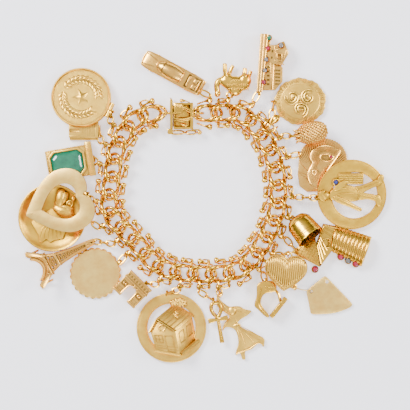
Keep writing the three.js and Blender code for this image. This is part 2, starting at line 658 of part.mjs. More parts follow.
function cottageDisc() {
  const { diameter, hole, thickness, house, front, depth } = COTTAGE_DISC;
  const ring = annulus(diameter / 2, hole / 2, thickness, 22);
  const s = house / 8.2;
  // The gabled front faces up and stands back from the ring, over the hole
  const gable = [[-5.2, -6.9], [2.8, -8.4], [1.3, -0.4], [-4.6, 3.4], [-7.0, -1.0]].map(
    ([x, y]) => [x * s, y * s, front],
  );
  const back = gable.map(([x, y, z]) => [x + 5.6 * s, y + 4.5 * s, z - depth]);
  const [heel, foot, corner] = [gable[0], gable[1], back[1]];
  const sill = front - house * 0.08;
  const side = [[foot[0] + 0.04 * house, foot[1], sill], [corner[0] + 0.04 * house, corner[1], corner[2]]];
  const leaves = ball(
    diameter * 0.114,
    diameter * 0.061,
    thickness + house * 0.012,
    diameter * 0.106,
    diameter * 0.36,
    thickness,
    7,
    4,
  );
  return {
    body: fuse(
      ring,
      prism(gable, back),
      rod(...side, house * 0.2, 6),
      rod([heel[0], heel[1], sill], [foot[0], foot[1], sill], house * 0.163),
      leaves,
    ),
    eye: [-diameter * 0.065, diameter * 0.47, thickness / 2],
  };
}

function ankh() {
  const { height, arms, bar, thickness } = ANKH;
  const [b, a, top] = [bar / 2, arms / 2, height / 2];
  const cross = top - height * 0.44;
  const shape = outline([
    [-b, -top], [b, -top], [b * 0.8, cross - b], [a, cross - b * 1.2], [a, cross + b * 1.1],
    [b * 1.2, cross + b], [b * 2.6, cross + b * 4], [b * 3, top - b * 2.6], [b * 1.6, top],
    [-b * 1.6, top], [-b * 3, top - b * 2.6], [-b * 2.6, cross + b * 4], [-b * 1.2, cross + b],
    [-a, cross + b * 1.1], [-a, cross - b * 1.2], [-b * 0.8, cross - b],
  ]);
  shape.holes.push(outline([
    [0, cross + b * 1.9], [b * 1.4, cross + b * 4.2], [b * 1.6, top - b * 3], [b * 0.8, top - b * 1.7],
    [-b * 0.8, top - b * 1.7], [-b * 1.6, top - b * 3], [-b * 1.4, cross + b * 4.2],
  ]));
  return { body: solid(slab(shape, thickness)), eye: [-0.4, top - 0.4, thickness / 2] };
}

// A flat girl in a wind-blown gown: hair to the right, sleeve to the left, feet below
function dancer() {
  const { height, thickness } = DANCER;
  const s = height / 25;
  const shape = outline([
    [-6.9, 12.3], [-5.4, 10.4], [-2.6, 8.4], [-0.5, 8.6], [1.4, 8.4], [2.8, 7.4], [5.2, 6.9],
    [3.6, 5.2], [1.0, 3.6], [0.6, 2.2], [3.2, 0.3], [9.2, -2.4], [9.7, -4.6], [9.3, -5.8],
    [8.0, -4.2], [5.2, -6.6], [3.0, -7.4], [3.1, -10.0], [1.9, -10.0], [1.2, -8.0], [-0.4, -8.6],
    [-0.2, -7.2], [0.6, -4.0], [-0.6, 0.2], [-3.6, 1.2], [-5.0, -0.2], [-4.4, 2.4], [-2.6, 4.8],
    [-4.0, 6.2], [-6.9, 8.6],
  ].map(([x, y]) => [x * s, (y - 1.1) * s]));
  return { body: solid(slab(shape, thickness)), eye: [-5.9 * s, 10.2 * s, thickness / 2] };
}

// A stirrup: a broad strap that curves down on the left, a thin one on the right, a flat tread
function stirrup() {
  const { height, tread, depth } = STIRRUP;
  const t = height / 2;
  const strap = outline([
    [-0.16 * t, t], [0.42 * t, 0.96 * t], [0.5 * t, 0.5 * t], [0.34 * t, 0.42 * t], [-0.16 * t, 0.3 * t],
    [-0.34 * t, -0.1 * t], [-0.24 * t, -0.38 * t], [-0.08 * t, -0.6 * t], [0.12 * t, -0.86 * t],
    [-0.04 * t, -0.94 * t], [-0.5 * t, -0.52 * t], [-0.68 * t, -0.3 * t], [-0.56 * t, 0.2 * t],
    [-0.52 * t, 0.8 * t],
  ]);
  const plate = block(tread, 1.5, depth + 1).rotateZ(deg(52)).translate(0.62 * t, -0.42 * t, 0);
  const thin = rod([0.36 * t, 0.6 * t, depth / 2], [0.72 * t, -0.12 * t, depth / 2], 0.9);
  return { body: fuse(slab(strap, depth, 0.4), plate, thin), eye: [-0.1 * t, 0.9 * t, depth * 0.6] };
}

function ribbedHeart() {
  const { width, height, depth, ribs } = RIBBED_HEART;
  const shape = heartOutline(width - 1.6, height - 1.6, height * 0.14, 4);
  const body = new THREE.ExtrudeGeometry(shape, {
    depth: depth * 0.3,
    bevelThickness: depth * 0.35,
    bevelSize: 0.8,
    bevelSegments: 1,
    curveSegments: 4,
  }).translate(0, 0, depth * 0.35);
  const bars = [];
  for (let i = 0; i < ribs; i += 1) {
    const x = ((i + 0.5) / ribs - 0.5) * (width - 3);
    const share = 1 - Math.abs(x) / width;
    bars.push(block(0.9, height * share * 0.72, 0.35, x, height * 0.08, depth - 0.1));
  }
  return { body: fuse(body, bars), eye: [0.2, height * 0.36, depth / 2] };
}

function kiteTag() {
  const { length, thickness, hole } = KITE_TAG;
  const s = length / 16;
  const at = [-0.8 * s, 4.6 * s];
  const shape = outline([
    [-1.2, 6.2], [0.0, 6.0], [8.4, -2.4], [8.9, -3.6], [8.0, -4.3], [-4.6, -6.9],
    [-5.9, -6.4], [-6.9, 0.6], [-6.5, 1.9],
  ].map(([x, y]) => [x * s, y * s]));
  shape.holes.push(roundShape(hole / 2, 7, 1, ...at));
  const plate = solid(slab(shape, thickness));
  return {
    body: plate,
    eye: [at[0] - hole * 0.75, at[1], thickness / 2],
    via: KITE_WIRE.map(({ x, y, z }) => [x, y, z]),
  };
}

// A wagon in three parts: a textured nose, a striped cab and a round-topped ribbed load
function wagon() {
  const { length, height, stone } = WAGON;
  const s = length / 27.6;
  const at = (points, z) => points.map(([x, y]) => [x * s, y * s, z]);
  const towards = ([ax, ay], [bx, by], share) => [ax + (bx - ax) * share, ay + (by - ay) * share];
  const inset = (points, share) => {
    const sum = points.reduce(([a, b], [x, y]) => [a + x, b + y]);
    return points.map((p) => towards(p, [sum[0] / points.length, sum[1] / points.length], share));
  };
  const raise = (low, share, top) => prism(at(low, 0), at(inset(low, share), top));
  const nose = [[-13.2, -1.3], [-7.9, -6.2], [-3.6, -7.4], [-4.8, -0.6]];
  const cab = [[-6.0, -0.4], [-4.1, -7.6], [1.1, -1.0], [2.8, 7.1], [-2.5, 8.1]];
  const load = [[1.6, 7.2], [14.4, 3.0], [11.0, -6.7], [-0.3, -1.0]];
  const ribs = [0.17, 0.39, 0.61, 0.83].map((u) => {
    const [upper, lower] = [towards(load[0], load[1], u), towards(load[3], load[2], u)];
    const ends = [towards(upper, lower, 0.2), towards(upper, lower, 0.8)];
    return rod(...at(ends, height), 1.0);
  });
  const wheels = [[-5.9, -7.4], [3.6, -3.4], [6.2, -4.5], [8.7, -5.5]].map(
    ([x, y]) => disc(stone / 2, height * 0.5, 6, x * s, y * s, 0.4),
  );
  const window = block(2.4 * s, 3.0 * s, 3, -1.9 * s, 0.8 * s, height * 0.5);
  const upperLoad = inset(load, 0.06);
  const body = fuse(
    raise(nose, 0.35, height * 0.8),
    raise(cab, 0.12, height * 0.85),
    raise(load, 0.04, height * 0.5),
    prism(at(upperLoad, height * 0.4), at(inset(upperLoad, 0.22), height)),
    ribs,
    wheels,
  );
  return { body: carve(body, window), eye: [-9.8 * s, -2.8 * s, height * 0.25] };
}

// A thimble-like cup lying on its side, with its mouth at the local -y end
function thimbleCup() {
  const { mouth, length, wall } = CUP;
  const [r, half] = [mouth / 2, length / 2];
  const profile = [
    [0, half], [r * 0.55, half * 0.96], [r * 0.88, half * 0.66], [r * 0.96, 0], [r, -half],
    [r - wall, -half], [r * 0.96 - wall, 0], [r * 0.84 - wall, half * 0.5], [0, half * 0.78],
  ];
  const body = new THREE.LatheGeometry(profile.map(([x, y]) => new THREE.Vector2(x, y)), 14);
  return { body: solid(body), eye: [-0.9, half * 0.9, 0.6] };
}

// A flat walking figure across an open ring, with a small stone beside its head
function figureRing() {
  const { diameter, hole, thickness } = FIGURE_RING;
  const r = diameter / 2;
  const ring = annulus(r, hole / 2, thickness, 22, 0, -0.3, -1.0);
  const s = r / 12.25;
  const figure = outline([
    [-1.9, 11.9], [0.3, 12.0], [1.5, 10.4], [1.2, 8.0], [3.2, 5.4], [4.2, 2.0], [3.0, -1.2],
    [2.2, -2.4], [4.6, -8.6], [5.0, -10.6], [3.4, -10.4], [0.8, -4.2], [-0.6, -9.4], [-3.0, -10.0],
    [-2.6, -8.6], [-1.4, -7.8], [-1.2, -2.6], [-3.6, -2.2], [-4.4, -3.4], [-3.2, 2.6], [-1.6, 5.0],
    [-1.4, 8.6], [-3.6, 11.0],
  ].map(([x, y]) => [x * s, y * s]));
  const bundle = block(3.0 * s, 6.6 * s, 1.2, 5.6 * s, 0.4 * s, thickness * 0.6);
  const stone = disc(1.1, 1.0, 8, 4.4 * s, 5.9 * s, thickness * 0.6);
  const beam = block(5 * s, 1.2 * s, 0.9, 3.6 * s, 4.2 * s, thickness * 0.5);
  return {
    body: fuse(ring, slab(figure, 1.1, thickness * 0.7), bundle, stone, beam),
    eye: [-1.2, r * 0.96, thickness / 2],
  };
}

// A fluted shell with a smaller two-lobed plate on it and an oval opening in that plate
function shell() {
  const { width, height, thickness } = SHELL;
  const [w, h] = [width / 2, height / 2];
  const rim = [];
  for (let i = 0; i < 15; i += 1) {
    const a = deg(-8 + 13.5 * i);
    const flute = i % 2 ? 0.97 : 1;
    rim.push([Math.cos(a) * w * flute + w * 0.07, (Math.sin(a) * h * 0.72 + h * 0.28) * flute]);
  }
  rim.push([-w * 0.98, -h * 0.3], [-w * 0.86, -h * 0.86], [-w * 0.3, -h * 0.92], [-w * 0.02, -h * 0.6]);
  const lobes = [];
  for (let i = 0; i < 9; i += 1) {
    const a = deg(20 + 24 * i);
    lobes.push([Math.cos(a) * w * 0.62 + w * 0.16, Math.sin(a) * h * 0.42 + h * 0.3]);
  }
  lobes.push([-w * 0.56, -h * 0.3], [-w * 0.42, -h * 0.66], [-w * 0.06, -h * 0.78], [w * 0.1, -h * 0.34]);
  const oval = slab(roundShape(w * 0.26, 8, 0.5, w * 0.22, h * 0.3), 4, thickness);
  const plate = carve(solid(slab(outline(lobes), thickness, thickness - 0.1)), oval);
  const nose = ball(w * 0.08, h * 0.06, thickness * 0.6, -w * 0.22, h * 0.16, 2 * thickness, 6, 4);
  return {
    body: fuse(slab(outline(rim), thickness), plate, nose),
    eye: [-w * 0.76, h * 0.4, thickness * 0.9],
  };
}

// Scales stand out in five rings, and a calyx holds the stalk
function pineCone() {
  const { length, diameter } = PINE_CONE;
  const [half, r] = [length / 2, diameter / 2];
  const profile = [[0, -half]];
  for (let i = 0; i < 5; i += 1) {
    const low = -0.86 + 0.3 * i;
    const [tip, root] = [low, low + 0.28].map((share) => r * Math.sqrt(1 - share * share));
    profile.push([tip, low * half], [root * 0.86, (low + 0.28) * half]);
  }
  profile.push([r * 0.66, half * 0.68], [r * 0.3, half * 0.96], [0, half]);
  const points = profile.map(([x, y]) => new THREE.Vector2(x, y));
  return { body: solid(new THREE.LatheGeometry(points, 9)), eye: [0, half * 0.94, 0] };
}

function bud() {
  const { length, diameter } = BUD;
  const body = fuse(
    ball(diameter / 2, length * 0.42, diameter / 2, 0, -length * 0.08, 0, 8, 6),
    new THREE.CylinderGeometry(0.4, diameter * 0.42, length * 0.3, 6).translate(0, length * 0.3, 0),
  );
  return { body, eye: [0, length * 0.4, 0] };
}

// A hammered oval medallion with three raised crescents
function medallion() {
  const { width, height, thickness, relief } = MEDALLION;
  const plate = slab(roundShape(height / 2, 20, width / height), thickness);
  const crescents = [90, 210, 330].map((angle) => {
    const ring = annulus(height * 0.16, height * 0.1, relief + 0.1, 10, thickness - 0.1);
    const a = deg(angle);
    return ring.translate(Math.cos(a) * height * 0.2, Math.sin(a) * height * 0.2, 0);
  });
  return { body: fuse(plate, crescents), eye: [0, width / 2 - 0.4, thickness / 2] };
}

// A town hall lying on its side: its stepped base to the left, its tower to the right
function townHall() {
  const { length, width, depth, stone } = TOWN_HALL;
  const [sx, sy] = [width / 11.2, length / 20.4];
  const part = (low, high, points) => {
    const plan = outline(points.map(([x, y]) => [x * sx, y * sy]));
    return slab(plan, (high - low) * depth, low * depth);
  };
  const base = part(0, 1, [[-3.6, 10.4], [-1.0, 10.2], [-3.2, -9.9], [-5.0, -9.9]]);
  const step = part(0, 0.84, [[-1.4, 10.0], [0.1, 9.8], [-2.2, -8.8], [-3.6, -9.0]]);
  const tower = part(0, 0.93, [
    [-1.4, 6.4], [1.5, 6.4], [4.6, 7.8], [6.2, 3.4], [3.8, -0.6], [-2, 0.2],
  ]);
  const hall = part(0, 0.62, [
    [-2.8, 0.8], [2.2, 0.8], [4.2, -1.5], [4.1, -6.2], [1.6, -9.2], [-3.0, -9.2],
  ]);
  const gable = part(0.6, 0.86, [[-2.8, 0.4], [1.0, 0.4], [0.6, -9.0], [-3.0, -9.1]]);
  const window = part(0.6, 1.2, [[2.4, 3.2], [3.6, 3.2], [3.6, 1.6], [2.4, 1.6]]);
  const seats = [[-0.7, 8.9], [-1.2, 5.2], [-1.7, 1.3], [-2.2, -2.5], [-2.7, -6.6], [3.5, 6.2]].map(
    ([x, y]) => disc(stone / 2, depth * 0.2, 7, x * sx, y * sy, depth * 0.82),
  );
  const body = fuse(carve(fuse(base, step, tower, hall, gable), window), seats);
  return { body, eye: [-4.0 * sx, -9.6 * sy, depth * 0.5] };
}

// A camel on its back: its legs point up the page, its hump and head down it
function camel() {
  const { length, height, thickness } = CAMEL;
  const [sx, sy] = [length / 13.6, height / 12.6];
  const shape = outline([
    [-3.4, 5.8], [-2.0, 5.8], [-1.8, 3.8], [-0.4, 5.2], [1.0, 5.3], [-0.6, 2.2], [0.2, 0.5],
    [2.0, 0.2], [3.5, 2.4], [3.9, 4.2], [4.9, 4.1], [5.1, 2.0], [6.0, 3.4], [7.0, 3.2], [6.0, -1.8],
    [4.6, -3.4], [0.6, -5.8], [-1.0, -5.0], [-3.0, -1.9], [-4.0, -2.0], [-4.4, -5.8], [-6.0, -5.4],
    [-6.2, -2.8], [-5.6, -0.4], [-4.0, 0.8], [-3.3, 2.4],
  ].map(([x, y]) => [x * sx, y * sy]));
  return { body: solid(slab(shape, thickness)), eye: [-0.2 * sx, -4.6 * sy, thickness * 0.6] };
}

// A saloon car seen from above, with a glass-house, a bonnet and an open boot
function car() {
  const { length, width, height } = CAR;
  const [half, w] = [length / 2, width / 2];
  const plan = (share, z, cut) => [
    [half * share, w * cut, z], [half * 0.9 * share, w, z], [-half * 0.8 * share, w, z],
    [-half * share, w * 0.6, z], [-half * share, -w * 0.6, z], [-half * 0.8 * share, -w, z],
    [half * 0.9 * share, -w, z], [half * share, -w * cut, z],
  ];
  const body = prism(plan(1, height * 0.08, 0.8), plan(0.97, height * 0.55, 0.75));
  const roof = (x0, x1, y, z) => [[x1, y, z], [x0, y, z], [x0, -y, z], [x1, -y, z]];
  const cabin = prism(
    roof(-half * 0.5, half * 0.42, w * 0.86, height * 0.5),
    roof(-half * 0.24, half * 0.2, w * 0.62, height),
  );
  const boot = block(half * 0.42, width * 0.72, height * 0.3, half * 0.68, 0, height * 0.4);
  const screen = block(half * 0.12, width * 0.56, 0.4, -half * 0.36, 0, height * 0.68);
  const wheels = [-0.62, 0.6].flatMap((x) => [-1, 1].map(
    (side) => rod([half * x, side * (w - 0.5), 0.9], [half * x, side * (w + 0.15), 0.9], 1.8, 8),
  ));
  return {
    body: fuse(carve(fuse(body, cabin), boot, screen), wheels),
    eye: [half - 0.6, -width * 0.18, height * 0.4],
  };
}

// The whole bracelet
const clasp = stationAt(0);
const setting = emeraldFrame();
const frameMesh = hang('emerald_frame', GOLD, setting);
const stone = meshOf('emerald_stone', emeraldStone(), GREEN_STONE);
stone.rotation.copy(frameMesh.rotation);
stone.position.copy(new THREE.Vector3(setting.shift, 0, 0).applyEuler(frameMesh.rotation));
stone.position.add(frameMesh.position);

const strandEnd = CLASP_HALF + 2 * GAP;
const bracelet = new THREE.Group();
bracelet.add(
  ...chainLinks(),
  edgeStrand('edge_strand_inner', -1, strandEnd, ROUTE_LENGTH - strandEnd),
  edgeStrand('edge_strand_outer', 1, strandEnd, ROUTE_LENGTH - strandEnd),
);

function inClasp(name, body, material) {
  const mesh = meshOf(name, body, material);
  mesh.applyMatrix4(new THREE.Matrix4().makeBasis(clasp.along, clasp.out, UP).setPosition(clasp.origin));
  return mesh;
}

bracelet.add(
  inClasp('clasp_box', claspBox(), GOLD),
  inClasp('clasp_tongue', claspTongue(), GOLD),
  inClasp('safety_catch', safetyCatch(), GOLD),
  frameMesh,
  stone,
  hang('coin', BRUSHED, coin()),
  hang('ribbed_case', SATIN, ribbedCase()),
  hang('heart_frame', SATIN, heartFrame()),
  hang('dish', BRUSHED, dish()),
  hang('lattice_tower', GOLD, latticeTower()),
  hang('scalloped_disc', SATIN, scallopedDisc()),
  hang('gate_arch', GOLD, gateArch()),
  hang('cottage_disc', SATIN, cottageDisc()),
  hang('ankh', GOLD, ankh()),
  hang('dancer', SATIN, dancer()),
  hang('stirrup', GOLD, stirrup()),
  hang('ribbed_heart', GOLD, ribbedHeart()),
  hang('kite_tag', SATIN, kiteTag()),
  hang('wagon', GOLD, wagon()),
  hang('thimble_cup', SATIN, thimbleCup()),
  hang('figure_ring', BRUSHED, figureRing()),
  hang('shell', SATIN, shell()),
  hang('pine_cone', GOLD, pineCone()),
  hang('bud', GOLD, bud()),
  hang('medallion', SATIN, medallion()),
  hang('town_hall', GOLD, townHall()),
  hang('camel', GOLD, camel()),
  hang('car', SATIN, car()),
);

// The origin is the middle of the bracelet's box, on the table
bracelet.updateMatrixWorld(true);
const box = new THREE.Box3().setFromObject(bracelet, true);
bracelet.position.set(-(box.min.x + box.max.x) / 2, -(box.min.y + box.max.y) / 2, -box.min.z);
bracelet.updateMatrixWorld(true);

export default bracelet;
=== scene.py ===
"""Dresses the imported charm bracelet: chain, beaded edges, clasp, jump rings and charms."""

import math

import bpy
import numpy as np
from mathutils import Matrix, Vector


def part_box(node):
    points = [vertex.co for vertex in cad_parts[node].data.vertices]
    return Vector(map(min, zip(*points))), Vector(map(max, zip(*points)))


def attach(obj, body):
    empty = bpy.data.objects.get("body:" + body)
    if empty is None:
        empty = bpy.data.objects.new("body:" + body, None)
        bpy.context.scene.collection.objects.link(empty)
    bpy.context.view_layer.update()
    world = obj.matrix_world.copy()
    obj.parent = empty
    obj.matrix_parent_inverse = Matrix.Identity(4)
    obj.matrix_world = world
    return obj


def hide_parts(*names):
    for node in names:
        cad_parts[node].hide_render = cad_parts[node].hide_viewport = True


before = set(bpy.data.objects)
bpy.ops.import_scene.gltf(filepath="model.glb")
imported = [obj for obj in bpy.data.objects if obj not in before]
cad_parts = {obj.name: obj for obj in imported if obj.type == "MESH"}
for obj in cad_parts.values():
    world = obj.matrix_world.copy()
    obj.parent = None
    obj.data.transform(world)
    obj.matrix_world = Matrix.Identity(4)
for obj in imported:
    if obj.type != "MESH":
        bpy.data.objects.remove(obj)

bl_info = {
    "name": "Charm bracelet",
    "version": (1, 0, 0),
    "blender": (4, 5, 0),
    "location": "3D View > Sidebar > Bracelet",
    "description": "Models a gold charm bracelet around its packed frame",
    "category": "Add Mesh",
}

# Pieces are shaped in millimetres, each in its own frame, and placed in metres at the end.
MM = 0.001
UP = Vector((0, 0, 1))
EAST = Vector((1, 0, 0))
NORTH = Vector((0, 1, 0))

# Chain: how many links, how finely each is drawn, and how far the beads stand from its middle line
LINKS = 28
LINK_POINTS = 44
STRAND_OFFSET = 4.45

# Clasp: its middle, half its length, and how far the catch's hinge lies beyond its end
CLASP_MIDDLE = (-7.3, 29.7, 3.1)
CLASP_HALF = 4.065
CATCH_HINGE_GAP = 0.3

# Jump rings: those on the chain, then those of a run from the chain to a charm
LINK_RING_OFFSET = 3.75
SMALL_RING_RADIUS = 1.6
RING_STEP = 2.6
RING_OVERLAP = 0.4
RING_HALF_WIDTH = 0.95

# Charms: how far the green stone lies off its frame's middle, the tower's length, and a heart curve's steps
STONE_SHIFT = -0.99
TOWER_HEIGHT = 23.4
HEART_STEPS = 24

# Camera: its height over the floor, and how wide a piece of floor it sees
CAMERA_HEIGHT = 800.0
VIEW_WIDTH = 143.5

# Each charm's place: x, y, z in millimetres, then its turn, pitch and roll in degrees
PLACES = {
    "coin": (-42.5, 35.0, 2.2, -114, 4.3, 9.6),
    "ribbed_case": (-41.6, 23.9, 0, 0, 0, 0),
    "emerald_frame": (-46.3, 12.3, 0, 9.8, 0, 0),
    "heart_frame": (-50.3, -2.0, 4.7, -70, 6, 0),
    "dish": (-52.7, -6.9, 0, 0, 0, 0),
    "lattice_tower": (-58.9, -25.4, 4.1, -63.8, -8.5, 0),
    "scalloped_disc": (-37.6, -26.4, 0, -66, 0, 0),
    "gate_arch": (-24.5, -31.9, 1.7, -45, 0, 0),
    "cottage_disc": (-10.9, -45.5, 0, 0, 0, 0),
    "ankh": (5.6, -43.4, 1.8, 10.2, 0, 0),
    "dancer": (12.0, -45.4, 0, 0, 0, 0),
    "stirrup": (22.6, -35.6, 0, 0, 0, 0),
    "ribbed_heart": (28.7, -25.9, 4.1, -6, 3, -9),
    "kite_tag": (43.6, -33.8, 0, 0, 0, 0),
    "wagon": (44.8, -17.0, 0, 0, 0, 0),
    "thimble_cup": (35.0, -10.3, 5.8, 39, -16, 0),
    "figure_ring": (52.2, 1.3, 2.2, 90, 6.4, 6.4),
    "shell": (41.7, 11.2, 0, 0, 0, 0),
    "pine_cone": (38.3, 22.8, 5.8, 103.3, 0, 0),
    "bud": (25.2, 27.2, 6.0, 137, 0, 0),
    "medallion": (34.3, 33.9, 0, 90, 0, 0),
    "town_hall": (23.9, 47.0, 0, 0, 0, 0),
    "camel": (10.5, 41.4, 0.9, 0, 0, 0),
    "car": (-10.4, 43.9, 0, -28.4, 0, 0),
}

# What each charm hangs from: its link, its eye in its own frame, and the bends on the way
HANGERS = {
    "coin": (26, (0, 11.6, 0.9), ()),
    "ribbed_case": (25, (5.4, 0, 1.8), ()),
    "emerald_frame": (24, (8.4, 0, 2.0), ()),
    "heart_frame": (22, (0, 10.6, 0.8), ()),
    "dish": (21, (11.9, 0, 2.2), ()),
    "lattice_tower": (20, (0, TOWER_HEIGHT, 0), ()),
    "scalloped_disc": (19, (0, 9.3, 0.6), ()),
    "gate_arch": (17, (1.6, 4.5, 1.9), ()),
    "cottage_disc": (16, (-1.6, 12.0, 0.8), ()),
    "ankh": (15, (-0.4, 7.7, 0.8), ()),
    "dancer": (14, (-5.9, 11.6, 0.8), ()),
    "stirrup": (12, (-0.6, 6.5, 2.0), ()),
    "ribbed_heart": (11, (0.2, 6.6, 2.0), ()),
    "kite_tag": (11.5, (-11.2, 2.6, 1.0), ((25.6, -22.6, 0.9), (29.5, -29.0, 0.9))),
    "wagon": (10, (-11.8, -1.6, 1.2), ()),
    "thimble_cup": (9, (-0.9, 4.6, 0.6), ()),
    "figure_ring": (8, (-1.2, 12.2, 0.7), ()),
    "shell": (6, (-7.9, 4.2, 1.4), ()),
    "pine_cone": (5, (0, 5.4, 0), ()),
    "bud": (4.5, (0, 2.6, 0), ()),
    "medallion": (4, (0, 9.2, 0.8), ()),
    "town_hall": (3, (-4.2, -10.0, 2.9), ()),
    "camel": (2, (-0.2, -5.2, 1.9), ()),
    "car": (1, (11.6, -1.2, 1.9), ()),
}


def length_property(name, description, millimetres):
    return bpy.props.FloatProperty(
        name=name, description=description, default=millimetres * MM, unit="LENGTH"
    )


def colour_property(name, default):
    return bpy.props.FloatVectorProperty(
        name=name, description=f"Colour of the {name.lower()}", default=default, size=4, subtype="COLOR",
        min=0, max=1,
    )


class BraceletSizes(bpy.types.PropertyGroup):
    """Sizes that a user may change."""

    link_wire: length_property("Link wire", "Thickness of each wire of a link", 1.15)
    link_length: length_property("Link length", "Length of a link's middle line", 8.35)
    link_width: length_property("Link width", "Width of a link's middle line", 5.3)
    link_twist: length_property("Link twist", "How far a link's sides rise and fall", 1.5)
    bead: length_property("Edge bead", "Diameter of a bead at the chain's edge", 1.9)
    edge_wire: length_property("Edge wire", "Thickness of the wire between the beads", 0.56)
    ring_wire: length_property("Jump ring wire", "Thickness of the jump rings' wire", 0.66)
    ring_radius: length_property("Jump ring radius", "Radius of the rings on the chain", 2.5)


class BraceletFinishes(bpy.types.PropertyGroup):
    """Colours that a user may change."""

    polished: colour_property("Polished gold", (0.96, 0.57, 0.06, 1))
    satin: colour_property("Satin gold", (0.97, 0.61, 0.10, 1))
    brushed: colour_property("Brushed gold", (0.88, 0.54, 0.05, 1))
    pale: colour_property("Pale gold", (1.0, 0.66, 0.18, 1))
    rose: colour_property("Rose gold", (1.0, 0.56, 0.12, 1))
    # Recess colour: partly the gold's own patina, partly painted shade in creases and hollows
    patina_and_shade: colour_property("Patina and painted shade in recesses", (0.10, 0.04, 0.005, 1))
    green: colour_property("Green stone", (0.006, 0.20, 0.10, 1))
    red: colour_property("Red stone", (0.45, 0.01, 0.06, 1))
    blue: colour_property("Blue stone", (0.03, 0.06, 0.35, 1))
    clear: colour_property("Clear stone", (0.75, 0.75, 0.78, 1))
    floor: colour_property("Floor", (0.80, 0.80, 0.86, 1))


# Shaping


def start():
    """Leaves edit mode with nothing selected."""
    if bpy.context.mode != "OBJECT":
        bpy.ops.object.mode_set(mode="OBJECT")
    bpy.ops.object.select_all(action="DESELECT")


def pick(objects):
    """Selects the objects and makes the first the active one."""
    start()
    for obj in objects:
        obj.select_set(True)
    bpy.context.view_layer.objects.active = objects[0]


def modify(obj, kind, **settings):
    """Adds a modifier with the settings and applies it."""
    pick([obj])
    modifier = obj.modifiers.new(kind.title(), kind)
    for key, value in settings.items():
        setattr(modifier, key, value)
    bpy.ops.object.modifier_apply(modifier=modifier.name)
    return obj


def rounded(obj, width, angle=35):
    if width <= 0:
        return obj
    return modify(
        obj, "BEVEL", width=width, segments=2, limit_method="ANGLE", angle_limit=math.radians(angle)
    )


def placed(obj, matrix):
    """Moves the mesh itself, so that the object stays at the origin."""
    obj.data.transform(matrix)
    return obj


def moved(obj, x=0, y=0, z=0, turn=0):
    return placed(obj, Matrix.Translation((x, y, z)) @ Matrix.Rotation(math.radians(turn), 4, "Z"))


def outward(obj):
    """Merges doubled points and turns the faces outwards."""
    pick([obj])
    bpy.ops.object.mode_set(mode="EDIT")
    bpy.ops.mesh.select_all(action="SELECT")
    bpy.ops.mesh.remove_doubles(threshold=0.0005)
    bpy.ops.mesh.normals_make_consistent(inside=False)
    bpy.ops.object.mode_set(mode="OBJECT")
    return obj


def copies(obj, matrices):
    """A copy with its own mesh at each of the places; the pattern itself is removed."""
    made = []
    for matrix in matrices:
        twin = obj.copy()
        twin.data = obj.data.copy()
        twin.data.transform(matrix)
        bpy.context.scene.collection.objects.link(twin)
        made.append(twin)
    bpy.data.objects.remove(obj)
    return made


def merged(parts):
    """Joins the parts into the first of them."""
    pick(parts)
    if len(parts) > 1:
        bpy.ops.object.join()
    return bpy.context.view_layer.objects.active


def melted(parts, voxel=0.18, smooth=2):
    """Runs soft forms into one skin."""
    obj = merged(parts)
    modify(obj, "REMESH", mode="VOXEL", voxel_size=voxel, adaptivity=0)
    return modify(obj, "SMOOTH", factor=0.5, iterations=smooth)


def box(size, at=(0, 0, 0), turn=0, edge=0.12):
    """A block whose underside's middle is at the given point."""
    start()
    bpy.ops.mesh.primitive_cube_add(size=1)
    obj = bpy.context.object
    placed(obj, Matrix.Diagonal((*size, 1)))
    rounded(obj, min(edge, min(size) * 0.3))
    return moved(obj, at[0], at[1], at[2] + size[2] / 2, turn)


def ball(radii, at=(0, 0, 0), turn=0, segments=16, rings=10):
    start()
    bpy.ops.mesh.primitive_uv_sphere_add(segments=segments, ring_count=rings, radius=1)
    obj = placed(bpy.context.object, Matrix.Diagonal((*radii, 1)))
    return moved(obj, *at, turn)


def frustum(low, high, edge=0.1):
    """A solid between two like polygons given as [x, y, z] corners."""
    start()
    count = len(low)
    bpy.ops.mesh.primitive_cylinder_add(vertices=count, radius=1, depth=1, end_fill_type="NGON")
    obj = bpy.context.object
    for i in range(count):
        obj.data.vertices[2 * i].co = low[i]
        obj.data.vertices[2 * i + 1].co = high[i]
    return rounded(outward(obj), edge)


def raised(obj, height):
    """Draws a flat shape up into a solid."""
    bpy.ops.object.mode_set(mode="EDIT")
    bpy.ops.mesh.select_all(action="SELECT")
    bpy.ops.mesh.extrude_region_move(TRANSFORM_OT_translate={"value": (0, 0, height)})
    bpy.ops.mesh.select_all(action="SELECT")
    bpy.ops.mesh.normals_make_consistent(inside=False)
    bpy.ops.object.mode_set(mode="OBJECT")
    return obj


def plate(points, low, high, edge=0.12):
    """A flat shape with its edges rounded over."""
    start()
    bpy.ops.mesh.primitive_circle_add(vertices=len(points), radius=1, fill_type="NGON")
    obj = bpy.context.object
    for vertex, (x, y) in zip(obj.data.vertices, points):
        vertex.co = (x, y, low)
    return rounded(raised(obj, high - low), edge, 50)


def band(outer, inner, low, high, edge=0.12):
    """A flat ring between two outlines with as many points each."""
    start()
    count = len(outer)
    bpy.ops.mesh.primitive_circle_add(vertices=count, radius=2)
    bpy.ops.object.mode_set(mode="EDIT")
    bpy.ops.mesh.primitive_circle_add(vertices=count, radius=1)
    bpy.ops.mesh.select_all(action="SELECT")
    bpy.ops.mesh.bridge_edge_loops()
    bpy.ops.object.mode_set(mode="OBJECT")
    obj = bpy.context.object
    for vertex, (x, y) in zip(obj.data.vertices, [*outer, *inner]):
        vertex.co = (x, y, low)
    return rounded(raised(obj, high - low), edge, 50)


def linked(name, data):
    """A new object of the data, linked into the scene."""
    obj = bpy.data.objects.new(name, data)
    bpy.context.scene.collection.objects.link(obj)
    return obj


def from_faces(points, faces):
    mesh = bpy.data.meshes.new("shape")
    mesh.from_pydata([tuple(p) for p in points], [], faces)
    return linked("shape", mesh)


